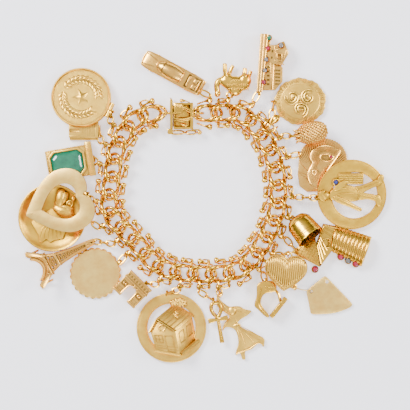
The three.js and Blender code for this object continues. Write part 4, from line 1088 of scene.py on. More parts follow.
def make_figure_ring():
    ring = band(circle(12.25, 112), circle(8.1, 112, -0.3, -1.0), 0, 1.3, 0.2)
    lines = wires([lifted(circle(11.9, 96), 1.3), lifted(circle(8.35, 96, -0.3, -1.0), 1.3)], 0.2, True, 6)
    torso = soft_plate(
        [
            (-1.7, 7.6), (0.8, 8.0), (2.4, 6.4), (3.6, 4.2), (3.4, 1.2), (2.6, -1.0), (0.4, -2.6),
            (-1.8, -2.2), (-2.4, 0.4), (-2.0, 3.4),
        ],
        1.0, 2.3, 0.45,
    )
    legs = [
        soft_plate(
            [
                (0.6, -1.0), (2.8, -0.6), (3.4, -3.4), (5.0, -7.4), (5.6, -9.6), (3.8, -10.4), (2.2, -6.6),
                (0.4, -3.2),
            ],
            1.0, 2.1, 0.4,
        ),
        soft_plate(
            [(-1.8, -1.6), (0.8, -1.6), (0.6, -5.0), (-0.2, -8.4), (-2.2, -8.8), (-1.6, -5.4)], 1.0, 2.2,
            0.4,
        ),
        soft_plate([(4.2, -9.2), (5.8, -8.8), (7.2, -10.0), (6.6, -11.0), (4.6, -10.8)], 1.0, 2.2, 0.35),
        soft_plate([(-2.6, -8.2), (-0.2, -8.0), (-0.4, -9.8), (-3.6, -10.4), (-4.0, -9.2)], 1.0, 2.3, 0.35),
    ]
    arms = [
        soft_plate(
            [
                (-1.8, 6.6), (-0.2, 6.2), (-1.4, 2.6), (-3.6, -1.2), (-4.8, -3.4), (-5.8, -2.6),
                (-4.2, 1.4), (-3.0, 4.6),
            ],
            1.2, 2.7, 0.4,
        ),
        soft_plate([(1.6, 6.8), (3.6, 5.6), (5.2, 3.2), (4.6, 1.6), (3.0, 2.8), (1.6, 4.8)], 1.2, 2.7, 0.4),
    ]
    head = ball((1.7, 1.9, 1.0), (-0.4, 9.7, 1.9), 10)
    cap = soft_plate(
        [(-2.4, 10.2), (-0.8, 12.2), (1.2, 11.6), (1.6, 9.8), (0.2, 10.3), (-1.2, 9.9)], 1.4, 3.0, 0.35
    )
    folds = [
        [(-0.8, 7.0, 2.35), (0.6, 3.6, 2.45), (0.4, -1.6, 2.3)],
        [(1.6, 5.6, 2.35), (2.4, 2.6, 2.4), (1.6, -1.4, 2.3)],
        [(-2.2, -1.6, 2.35), (0.4, -2.2, 2.4), (2.9, -0.9, 2.3)],
        [(0.2, -2.6, 2.25), (-0.4, -5.4, 2.3), (-1.2, -8.2, 2.3)],
        [(2.0, -2.0, 2.25), (3.2, -5.6, 2.2), (4.6, -9.2, 2.2)],
        [(-1.2, 5.4, 2.75), (-2.6, 2.0, 2.8), (-4.4, -1.6, 2.7)],
    ]
    bundle = box((4.0, 9.0, 1.2), (5.6, 0.6, 0.7), edge=0.4)
    stripes = [wires([[(4.2 + 0.7 * i, -3.6, 1.95), (4.2 + 0.7 * i, 4.8, 1.95)]], 0.55) for i in range(5)]
    beam = box((5, 1.1, 0.9), (3.6, 4.6, 0.65), edge=0.2)
    seat = wires([circle3(4.4, 5.9, 1.8, 1.1)], 0.42, True)
    cup = moved(turned([(0, 0.8), (1.0, 0.8), (1.1, 1.5), (0, 1.5)], 20), 4.4, 5.9)
    parts = [ring, lines, torso, *legs, *arms, head, cap, traced(folds, 0.42, ends=0.5), bundle, *stripes,
             beam, seat, cup]
    charm("figure_ring", parts, FINISH["brushed"])
    small_stone("figure_ring", "figure_ring_blue_stone", (4.4, 5.9, 1.5), 0.85, "blue")


def small_stone(holder, name, at, radius, finish):
    """A round stone with a table, bevelled all round, in its seat."""
    start()
    bpy.ops.mesh.primitive_cone_add(vertices=10, radius1=radius, radius2=radius * 0.55, depth=radius * 0.5)
    crown = moved(bpy.context.object, at[0], at[1], at[2] + radius * 0.45)
    start()
    bpy.ops.mesh.primitive_cone_add(vertices=10, radius1=radius * 0.4, radius2=radius, depth=radius * 0.4)
    base = moved(bpy.context.object, at[0], at[1], at[2])
    settle(name, [crown, base], FINISH[finish], (), "bracelet", charm_frame(holder), 10)


# Set and cased charms


def cut_corners(length, width, corner, z):
    """A rectangle with its corners cut off."""
    x, y = length / 2, width / 2
    return [
        (x, y - corner, z), (x - corner, y, z), (corner - x, y, z), (-x, y - corner, z),
        (-x, corner - y, z), (corner - x, -y, z), (x - corner, -y, z), (x, corner - y, z),
    ]


def make_emerald():
    sections = [(7.0, 4.4, 0.8, 1.1), (9.4, 6.6, 1.2, 1.75), (11.2, 8.4, 1.6, 2.42), (11.2, 8.4, 1.6, 2.5),
                (10.5, 7.6, 1.45, 2.95), (9.6, 6.7, 1.3, 3.25), (8.6, 5.7, 1.1, 3.48)]
    loops = [[(x + STONE_SHIFT, y, z) for x, y, z in cut_corners(*s)] for s in sections]
    points = [p for loop in loops for p in loop]
    faces = [tuple(reversed(range(8))), tuple(range(48, 56))]
    for i in range(6):
        faces += [
            (8 * i + j, 8 * i + (j + 1) % 8, 8 * i + 8 + (j + 1) % 8, 8 * i + 8 + j)
            for j in range(8)
        ]
    stone = outward(from_faces(points, faces))
    settle("emerald_stone_step_cut", [stone], FINISH["green"], ["emerald_stone"], "bracelet",
           charm_frame("emerald_frame"), 5)

    def loop(length, width, corner):
        return [(x + STONE_SHIFT, y) for x, y, _ in cut_corners(length, width, corner, 0)]

    base = box((16.4, 10.8, 2.3), (0, 0, 0), edge=0.25)
    bar = box((2.2, 12.1, 3.4), (7.1, 0.3, 0), edge=0.3)
    seat = frustum(
        [(x, y, 0.8) for x, y in loop(11.8, 9.0, 1.6)], [(x, y, 4.4) for x, y in loop(11.8, 9.0, 1.6)], 0
    )
    window = box((7.8, 5.0, 3.0), (STONE_SHIFT, 0, -1), edge=0)
    cut(base, seat, window)
    collar = band(loop(12.7, 9.9, 1.9), loop(11.3, 8.5, 1.6), 1.9, 3.1, 0.2)
    bead = ball((0.28, 0.4, 0.25), segments=10, rings=6)
    spots = [Matrix.Translation((-7.7, y * 0.85 - 4.7, 2.3)) for y in range(12)]
    spots += [Matrix.Translation((x * 0.8 - 7.0, side * 5.15, 2.3)) for x in range(16) for side in (-1, 1)]
    lines = [[(6.2, -5.4 + 0.62 * k, 3.4), (8.0, -5.0 + 0.62 * k, 3.4)] for k in range(18)]
    edges = [[(6.1, -5.6, 3.35), (6.1, 6.2, 3.35)], [(8.1, -5.6, 3.35), (8.1, 6.2, 3.35)]]
    ledge = wires([lifted([(-8.05, -5.25), (5.9, -5.25), (5.9, 5.25), (-8.05, 5.25)], 2.28)], 0.3, True, 6)
    parts = [
        base, bar, collar, *copies(bead, spots), wires(lines, 0.3, sides=6), wires(edges, 0.4, sides=6),
        ledge,
    ]
    charm("emerald_frame", parts, FINISH["satin"])


def make_case():
    upper = box((10.4, 5.6, 1.95), (0, 0, 1.25), edge=0.22)
    lower = box((10.0, 6.4, 1.45), (0, -0.4, 0), edge=0.2)
    cut(upper, box((3.6, 1.2, 2.0), (-3.3, -0.3, 2.1), edge=0.3))
    cut(lower, *[box((2.2, 1.6, 0.9), (x, -3.2, 0.3), edge=0.1) for x in (-3.4, -0.4, 2.6)])
    ribs = [box((0.42, 5.0, 0.3), (-0.6 + 0.8 * i, 0, 3.05), edge=0.14) for i in range(6)]
    ribs.append(box((1.3, 5.2, 0.4), (4.5, 0, 3.0), edge=0.18))
    ribs.append(box((3.8, 0.4, 0.25), (-3.2, 2.2, 3.1), edge=0.1))
    ribs.append(box((3.8, 0.4, 0.25), (-3.2, -2.2, 3.1), edge=0.1))
    hinge = wires([[(5.3, -1.6, 1.8), (5.3, 1.6, 1.8)]], 1.1, sides=12)
    charm("ribbed_case", [upper, lower, *ribs, hinge], FINISH["satin"])


# Hearts


def bezier(a, b, c, d):
    """Points of a flat cubic curve, both ends included."""
    points = []
    for i in range(HEART_STEPS + 1):
        t = i / HEART_STEPS
        shares = ((1 - t) ** 3, 3 * (1 - t) ** 2 * t, 3 * (1 - t) * t * t, t**3)
        points.append(tuple(sum(s * p[k] for s, p in zip(shares, (a, b, c, d))) for k in (0, 1)))
    return points


def heart(width, height, cleft, y=0.0):
    """Outline of a heart: two curves for its right half, mirrored for the left."""
    w, top, foot = width / 2, y + height / 2, y - height / 2
    side = top - height * 0.36
    half = bezier((0, top - cleft), (w * 0.3, top + cleft * 0.6), (w, top), (w, side))
    half += bezier((w, side), (w, top - height * 0.6), (w * 0.42, foot + height * 0.16), (0, foot))[1:]
    return half + [(-px, py) for px, py in reversed(half[1:-1])]


def make_heart_frame():
    outer = heart(22.4, 24.4, 24.4 * 0.075)
    inner = heart(12.4, 13.6, 13.6 * 0.06, y=0.6)
    frame_band = band(outer, inner, 0, 1.2, 0.1)
    pin = ball((0.35, 0.35, 0.2), (0, -9.9, 1.2), segments=12, rings=8)
    charm("heart_frame", [frame_band, pin], FINISH["pale"])


def span(outline, x):
    """Lowest and highest y of an outline at x."""
    hits = []
    for (ax, ay), (bx, by) in zip(outline, outline[1:] + outline[:1]):
        if (ax - x) * (bx - x) <= 0 and ax != bx:
            hits.append(ay + (by - ay) * (x - ax) / (bx - ax))
    return min(hits), max(hits)


def make_ribbed_heart():
    outline = heart(14.9, 12.6, 12.6 * 0.14)
    body = plate([(0.92 * x, 0.92 * y) for x, y in outline], 0.5, 3.2, 0.9)
    belt = wires([lifted([(0.96 * x, 0.96 * y) for x, y in outline], 1.9)], 0.9, True, 10)
    ribs = []
    for i in range(19):
        x = -6.57 + 0.73 * i
        low, high = span(outline, x)
        row = []
        for k in range(15):
            t = k / 14
            dome = math.sqrt(max(0.0, 1 - (x / 8.2) ** 2)) * max(0.0, 1 - (2 * t - 1) ** 4) ** 0.6
            row.append((x, low + 0.45 + (high - low - 0.9) * t, 2.0 + 1.6 * dome))
        ribs.append(row)
    loop = wires([oval(Vector((0.2, 6.0, 2.0)), NORTH, UP, 1.3, 1.3)], 0.75, True)
    charm("ribbed_heart", [body, belt, wires(ribs, 0.78, sides=10), loop], FINISH["satin"])


# Buildings


def make_tower():
    levels = [(0, 1), (0.06, 0.86), (0.12, 0.72), (0.23, 0.5), (0.38, 0.3), (0.62, 0.18), (1, 0.09)]

    def half(share):
        for (a, x), (b, y) in zip(levels, levels[1:]):
            if share <= b:
                return x + (y - x) * (share - a) / (b - a)
        return levels[-1][1]

    def corner(share, sx, sz):
        return (sx * 6.15 * half(share), TOWER_HEIGHT * share, sz * 4.0 * half(share))

    signs = [(1, 1), (-1, 1), (-1, -1), (1, -1)]
    legs = wires([[corner(k / 24, *s) for k in range(25)] for s in signs], 1.2, sides=6)
    feet = [
        frustum(
            [
                tuple(Vector(corner(0, *s)) + Vector((dx, 0, dz)))
                for dx, dz in ((-1, -1), (1, -1), (1, 1), (-1, 1))
            ],
            [
                tuple(Vector(corner(0.2, *s)) + Vector((dx, 0, dz)) * 0.8)
                for dx, dz in ((-1, -1), (1, -1), (1, 1), (-1, 1))
            ],
            0.1,
        )
        for s in signs
    ]
    marks = [0.24, 0.30, 0.36, 0.42, 0.48, 0.54, 0.60, 0.66, 0.72, 0.78, 0.84]
    braces, bars = [], []
    for a, b in zip(marks, marks[1:]):
        for k in range(4):
            p, q = signs[k], signs[(k + 1) % 4]
            braces += [[corner(a, *p), corner(b, *q)], [corner(a, *q), corner(b, *p)]]
            bars.append([corner(a, *p), corner(a, *q)])
    arches = []
    for k in range(4):
        p, q = (Vector(corner(0.03, *signs[k])), Vector(corner(0.03, *signs[(k + 1) % 4])))
        for lift, share in ((0.125, 0.72), (0.16, 0.88)):
            line = []
            for i in range(13):
                t = i / 12
                spot = p.lerp(q, 0.5 + (t - 0.5) * share)
                spot.y = TOWER_HEIGHT * (0.03 + lift * math.sin(math.pi * t) ** 0.7)
                line.append(tuple(spot))
            arches.append(line)
    decks = [
        box((8.4, 0.9, 5.6), (0, 4.7, -2.8), edge=0.15), box((5.0, 0.8, 3.5), (0, 8.7, -1.75), edge=0.15),
        box((2.4, 0.9, 1.9), (0, 20.4, -0.95), edge=0.15), box((1.6, 1.3, 1.4), (0, 21.4, -0.7), edge=0.25),
    ]
    core = frustum(
        [(x * 0.8, 9.0, z * 0.6) for x, z in signs], [(x * 0.4, 21, z * 0.35) for x, z in signs], 0
    )
    rails = [[(x * 4.1, 5.8, z * 2.7) for x, z in signs], [(x * 2.4, 9.7, z * 1.7) for x, z in signs]]
    spire = wires([[(0, 22, 0), (0, 23.6, 0)]], 0.6)
    parts = [
        legs, *feet, wires(braces, 0.4, sides=6), wires(bars, 0.5, sides=6), wires(arches, 0.7, sides=6),
        *decks, core, wires(rails, 0.4, True, 6), spire,
    ]
    charm("lattice_tower", parts, FINISH["rose"])


def make_arch():
    front = [(-5, -4.45), (-1.7, -4.45), (-1.7, -0.71)]
    front += [
        (1.7 * math.cos(math.radians(a)), -0.71 + 1.7 * math.sin(math.radians(a)))
        for a in range(168, 0, -12)
    ]
    front += [(1.7, -0.71), (1.7, -4.45), (5, -4.45), (5, 4.45), (-5, 4.45)]
    body = plate(front, 0, 4.0, 0.08)
    cut(
        body, box((20, 3.2, 1.4), (0, -2.9, 1.4), edge=0),
        *[box((2.3, 1.9, 1.0), (x, -0.3, 3.55), edge=0) for x in (-3.35, 3.35)],
        *[box((2.0, 1.2, 1.0), (x, -2.7, 3.6), edge=0) for x in (-3.35, 3.35)],
        *[box((0.62, 0.7, 1.0), (-4.3 + 1.23 * i, 3.1, 3.6), edge=0) for i in range(8)],
    )
    trim = [
        box((10.7, 0.55, 4.9), (0, 1.8, -0.3), edge=0.12), box((10.4, 0.6, 4.7), (0, 4.2, -0.2), edge=0.12),
        box((10.5, 0.3, 4.5), (0, 2.4, -0.15), edge=0.08),
        box((3.6, 0.8, 4.5), (-3.35, -4.1, -0.15), edge=0.1),
        box((3.6, 0.8, 4.5), (3.35, -4.1, -0.15), edge=0.1), box((0.9, 1.3, 0.6), (0, 1.2, 3.9), edge=0.12),
    ]
    knots = [ball((0.45, 0.7, 0.4), (x, -0.3, 3.8), segments=10, rings=6) for x in (-3.8, -2.95, 2.95, 3.8)]
    curve = [
        (2.0 * math.cos(math.radians(a)), -0.71 + 2.0 * math.sin(math.radians(a)), 4.0)
        for a in range(0, 181, 12)
    ]
    curve = [(2.0, -4.4, 4.0), *curve, (-2.0, -4.4, 4.0)]
    charm("gate_arch", [body, *trim, *knots, wires([curve], 0.4)], FINISH["rose"])


def make_hall():
    depth = 5.8

    def part(points, low, high, edge=0.12):
        return plate(points, low * depth, high * depth, edge)

    base = part([(-3.6, 10.4), (-1.0, 10.2), (-3.2, -9.9), (-5.0, -9.9)], 0, 1, 0.15)
    step = part([(-1.4, 10.0), (0.1, 9.8), (-2.2, -8.8), (-3.6, -9.0)], 0, 0.84)
    tower = part([(-1.4, 6.4), (1.5, 6.4), (4.6, 7.8), (6.2, 3.4), (3.8, -0.6), (-2, 0.2)], 0, 0.9)
    hall = part([(-2.8, 0.8), (2.2, 0.8), (4.2, -1.5), (4.1, -6.2), (1.6, -9.2), (-3.0, -9.2)], 0, 0.6)
    gable = part([(-2.8, 0.4), (0.6, 0.4), (0.2, -9.0), (-3.0, -9.1)], 0.58, 0.86)
    cut(
        tower, box((1.3, 1.8, 3.0), (2.9, 2.2, depth * 0.5), turn=-4, edge=0),
        *[
            box((0.5, 0.8, 1.4), (x, y, depth * 0.7), turn=-10, edge=0)
            for x, y in ((0.3, 2.0), (0.5, 4.2), (4.9, 2.6))
        ],
    )
    cut(
        gable,
        *[box((0.9, 0.7, 1.2), (-0.9 - 0.03 * i, -1.3 - 1.5 * i, depth * 0.72), edge=0) for i in range(5)],
    )
    cut(
        hall,
        *[box((1.7, 0.6, 1.2), (2.4, -2.4 - 1.2 * i, depth * 0.48), turn=-4, edge=0) for i in range(5)],
    )
    top = depth * 0.9
    extras = [
        box((0.45, 5.6, 0.5), (1.6, 3.2, top - 0.2), turn=6, edge=0.12),
        box((4.1, 0.45, 0.4), (3.4, 5.2, top - 0.2), turn=22, edge=0.12),
        box((3.8, 0.45, 0.4), (3.0, 0.3, top - 0.2), turn=-26, edge=0.12),
        box((0.5, 3.8, 0.5), (5.1, 3.2, top - 0.2), turn=-18, edge=0.12),
        box((0.5, 2.2, 0.5), (2.0, 2.2, top - 0.1), turn=-4, edge=0.1),
        box((0.5, 2.2, 0.5), (3.8, 2.2, top - 0.1), turn=-4, edge=0.1),
        box((2.2, 0.4, 0.5), (2.9, 3.4, top - 0.1), turn=-4, edge=0.1),
        box((2.2, 0.4, 0.5), (2.9, 1.0, top - 0.1), turn=-4, edge=0.1),
    ]
    extras += [
        box((0.3, 9.0, 0.4), (-0.1 - 0.02 * i, -4.4, depth * 0.86 - 0.15 - 0.5 * i), edge=0.1)
        for i in range(2)
    ]
    ridge = wires([[(0.9, 0.4, 4.2), (0.5, -9.0, 4.2)]], 0.7)
    rails = wires([[(-3.5 + 0.3 * i, 10.2, 5.8), (-4.9 + 0.22 * i, -9.8, 5.8)] for i in (0, 4, 8)], 0.35)
    seats = [(-0.7, 8.9), (-1.2, 5.2), (-1.7, 1.3), (-2.2, -2.5), (-2.7, -6.6), (3.5, 6.2)]
    cups = []
    for x, y in seats:
        cups.append(
            moved(
                turned([(0, 4.6), (1.05, 4.6), (1.15, 5.5), (0.95, 5.9), (0.75, 5.6), (0, 5.6)], 18), x, y
            )
        )
    charm("town_hall", [base, step, tower, hall, gable, *extras, ridge, rails, *cups], FINISH["rose"])
    for i, ((x, y), colour) in enumerate(zip(seats, ("green", "red", "clear", "clear", "red", "clear"))):
        small_stone("town_hall", f"town_hall_stone_{i + 1}", (x, y, 5.7), 0.8, colour)


# Flat figures


def make_ankh():
    b, top, cross = 0.8, 7.45, 0.9
    loop = flow(
        [
            (0, cross + 0.9), (1.35, cross + 2.5), (1.75, top - 2.4), (1.2, top - 0.95), (0, top - 0.7),
            (-1.2, top - 0.95), (-1.75, top - 2.4), (-1.35, cross + 2.5),
        ],
        6,
    )
    ring = placed(
        wires([lifted(loop, 0)], 1.35, True, 10),
        Matrix.Translation((0, 0, 0.75)) @ Matrix.Diagonal((1, 1, 0.95, 1)),
    )
    foot = plate([(-b, -top), (b, -top), (b * 0.72, cross + 0.4), (-b * 0.72, cross + 0.4)], 0, 1.5, 0.3)
    arms = [
        plate(
            [
                (0, cross - 0.5), (s * 3.55, cross - 0.95), (s * 3.55, cross + 0.95), (0, cross + 0.5)
            ][:: 1 if s > 0 else -1],
            0, 1.5, 0.3,
        )
        for s in (-1, 1)
    ]
    lines = wires([[(0, -top + 0.6, 1.5), (0, cross - 0.8, 1.5)]], 0.3)
    charm("ankh", [ring, foot, *arms, lines], FINISH["polished"])


def make_dancer():
    outline = [
        (-6.9, 12.3), (-5.4, 10.4), (-2.6, 8.4), (-0.5, 8.6), (1.4, 8.4), (2.8, 7.4), (5.2, 6.9),
        (3.6, 5.2), (1.0, 3.6), (0.6, 2.2), (3.2, 0.3), (9.2, -2.4), (9.7, -4.6), (9.3, -5.8), (8.0, -4.2),
        (5.2, -6.6), (3.0, -7.4), (3.1, -10.0), (1.9, -10.0), (1.2, -8.0), (-0.4, -8.6), (-0.2, -7.2),
        (0.6, -4.0), (-0.6, 0.2), (-3.6, 1.2), (-5.0, -0.2), (-4.4, 2.4), (-2.6, 4.8), (-4.0, 6.2),
        (-6.9, 8.6),
    ]
    body = plate(flow([(x, y - 1.1) for x, y in outline], 3), 0, 1.2, 0.25)
    folds = [
        [(0.0, 0.4), (1.6, -2.4), (3.0, -6.6)], [(0.6, 0.4), (3.6, -2.6), (6.2, -5.6)],
        [(1.2, 0.2), (5.0, -2.6), (8.4, -4.6)], [(0.0, 0.0), (0.8, -3.6), (1.0, -7.8)],
        [(1.6, 0.4), (5.4, -1.6), (8.8, -3.6)], [(-0.8, 3.4), (0.2, 1.6), (0.4, 0.4)],
        [(-1.0, 6.8), (1.6, 6.6), (4.4, 5.9)], [(-0.8, 6.2), (1.2, 5.6), (3.4, 4.8)],
        [(-2.2, 3.4), (-3.4, 1.8), (-4.2, 0.4)], [(-6.0, 9.6), (-4.4, 7.4), (-2.6, 5.8)],
        [(-6.2, 8.2), (-4.6, 6.4), (-3.0, 5.2)], [(-4.6, 8.6), (-2.8, 7.0), (-1.4, 6.6)],
    ]
    head = ball((1.5, 1.6, 0.6), (-1.6, 5.8, 1.15))
    sash = traced([[(-1.0, 0.7, 1.3), (0.4, 1.2, 1.4), (1.4, 0.6, 1.3)]], 0.6)
    hem = traced(
        [[(-0.2, -9.2, 1.2), (1.6, -8.6, 1.3), (4.6, -7.4, 1.3), (7.6, -5.4, 1.3), (9.3, -6.2, 1.2)]], 0.45
    )
    lines = traced([[(x, y, 1.25) for x, y in f] for f in folds], 0.36, ends=0.4)
    charm("dancer", [body, head, sash, hem, lines], FINISH["satin"])


def make_stirrup():
    t = 6.5
    strap = [
        (-0.16, 1), (0.42, 0.96), (0.5, 0.5), (0.34, 0.42), (-0.16, 0.3), (-0.34, -0.1), (-0.24, -0.38),
        (-0.08, -0.6), (0.12, -0.86), (-0.04, -0.94), (-0.5, -0.52), (-0.68, -0.3), (-0.56, 0.2),
        (-0.52, 0.8),
    ]
    body = soft_plate([(x * t, y * t) for x, y in strap], 0.4, 3.8, 0.45)
    tread = moved(box((8.6, 1.5, 4.4), edge=0.25), 0.62 * t, -0.42 * t, 0, 52)
    arm = traced([[(0.36 * t, 0.6 * t, 1.7), (0.62 * t, 0.3 * t, 1.7), (0.72 * t, -0.12 * t, 1.7)]], 1.0)
    buckle = [
        box((3.4, 0.5, 0.4), (0.9, 4.6, 3.6), edge=0.12), box((3.0, 0.4, 0.35), (0.9, 3.5, 3.6), edge=0.12)
    ]
    grooves = [
        moved(box((0.5, 1.6, 0.3), edge=0.1), 0.62 * t + d * 0.616, -0.42 * t + d * 0.788, 4.2, 52)
        for d in (-3, -1.5, 0, 1.5, 3)
    ]
    line = traced(
        [
            [
                (-0.3 * t, 0.7 * t, 3.85), (-0.44 * t, 0, 3.85), (-0.4 * t, -0.4 * t, 3.85),
                (0, -0.86 * t, 3.8),
            ],
        ],
        0.35,
    )
    charm("stirrup", [body, tread, arm, *buckle, *grooves, line], FINISH["polished"])


def make_kite():
    outline = [
        (-1.2, 6.1), (-0.3, 6.2), (0.6, 5.5), (5.0, 0.9), (8.6, -2.9), (8.9, -3.7), (8.2, -4.6),
        (5.2, -5.9), (2.1, -6.7), (-1.6, -7.0), (-4.8, -7.0), (-5.7, -6.4), (-6.3, -3.2), (-7.0, 0.2),
        (-6.6, 1.6),
    ]
    body = plate(flow(outline, 2), 0, 1.0, 0.25)
    cut(
        body, moved(turned([(0, -1), (0.6, -1), (0.6, 2), (0, 2)], 20), 0.1, 4.4),
        moved(turned([(0, -1), (0.55, -1), (0.55, 2), (0, 2)], 20), -5.4, 0.9),
    )
    rim = wires([circle3(0.1, 4.4, 1.0, 0.72)], 0.2, True)
    beads = [ball((0.95, 0.95, 0.9), (-12.2, 3.2, 1.2)), ball((0.6, 0.6, 0.6), (-10.9, 2.3, 1.0))]
    thin = traced(
        [
            [
                (-10.8, 2.2, 1.0), (-8.6, 1.6, 1.1), (-6.6, 1.4, 1.2), (-5.2, 0.8, 1.3), (-5.4, 0.4, 0.4),
                (-6.6, 1.0, 0.3),
            ],
        ],
        0.36,
    )
    charm("kite_tag", [body, rim, *beads, thin], FINISH["pale"])


# Wheeled charms


def make_wagon():
    def middle(points):
        return tuple(sum(p[k] for p in points) / len(points) for k in (0, 1))

    def inset(points, share):
        c = middle(points)
        return [lerp(p, c, share) for p in points]

    tip, low, peak = (-13.7, -1.9), (-3.8, -7.0), (-5.4, 4.2)
    nose = frustum(lifted([tip, low, peak], 0), [(*tip, 1.0), (*low, 3.9), (*peak, 2.4)], 0.12)
    cab = [(-5.0, 1.0), (-3.6, -7.4), (1.1, -1.0), (2.8, 7.1), (-2.5, 8.1)]
    load = [(1.6, 7.2), (14.4, 3.0), (11.0, -6.7), (-0.3, -1.0)]
    bodies = [
        nose, frustum(lifted(cab, 0), lifted(inset(cab, 0.1), 3.8), 0.2),
        frustum(lifted(load, 0), lifted(inset(load, 0.06), 2.3), 0.2),
    ]
    cut(bodies[1], box((2.0, 2.6, 3), (-1.7, 1.2, 2.0), turn=-8, edge=0))
    rows, ribs = [], []
    for i in range(19):
        upper, lower = lerp(load[0], load[1], 0.04 + 0.051 * i), lerp(load[3], load[2], 0.04 + 0.051 * i)
        row = []
        for k in range(15):
            a = math.pi * k / 14
            x, y = lerp(upper, lower, 0.5 - 0.5 * math.cos(a))
            row.append((x, y, 1.6 + 3.0 * math.sin(a)))
        rows.append(row)
        if i % 2 == 0:
            ribs.append(row)
    cover = skin(rows, 0.4)
    ends = [
        frustum([rows[i][k] for k in range(0, 15, 2)], [rows[j][k] for k in range(0, 15, 2)], 0)
        for i, j in ((0, 2), (16, 18))
    ]
    stripes = []
    for i in range(9):
        a, b = lerp(cab[0], cab[4], 0.05 + 0.112 * i), lerp(cab[1], cab[3], 0.05 + 0.112 * i)
        if i in (4, 5):
            b = lerp(a, b, 0.22)
        stripes.append([(*lerp(a, b, 0.1), 3.8), (*lerp(a, b, 0.92), 3.9)])

    def on_nose(u, v):
        """A point of the sloping face: u towards the low corner, v towards the peak."""
        a, b, c = Vector((*tip, 1.0)), Vector((*low, 3.9)), Vector((*peak, 2.4))
        return tuple(a + (b - a) * u + (c - a) * v + Vector((0, 0, 0.05)))

    courses = [[on_nose(0, 0.11 * i), on_nose(1 - 0.11 * i, 0.11 * i)] for i in range(9)]
    joints = []
    for i in range(8):
        for k in range(12):
            u = (k + 0.5 * (i % 2)) / 11
            if 0.03 < u < 1 - 0.11 * (i + 1):
                joints.append([on_nose(u, 0.11 * i), on_nose(u, 0.11 * (i + 1))])
    window = [(-2.8, 2.6, 3.95), (-0.6, 2.8, 3.95), (-0.5, -0.2, 3.95), (-2.7, -0.4, 3.95)]
    wheels = [(-5.4, -8.0), (3.6, -3.6), (6.2, -4.9), (8.9, -6.1)]
    cups = [
        moved(turned([(0, 0.3), (1.2, 0.3), (1.3, 2.2), (1.1, 2.7), (0.85, 2.4), (0, 2.4)], 20), x, y)
        for x, y in wheels
    ]
    rail = wires([[(-0.3, -1.0, 2.3), (11.0, -6.7, 2.3)], [(1.6, 7.2, 2.2), (14.4, 3.0, 2.2)]], 0.6)
    parts = [
        *bodies, cover, wires(ribs, 1.0, sides=10), *ends, wires(stripes, 0.55),
        wires(courses, 0.26, sides=6), wires(joints, 0.22, sides=6), wires([window], 0.5, True), *cups,
        rail,
    ]
    charm("wagon", parts, FINISH["polished"])
    for i, ((x, y), colour) in enumerate(zip(wheels, ("red", "red", "clear", "red"))):
        small_stone("wagon", f"wagon_stone_{i + 1}", (x, y, 2.45), 1.0, colour)


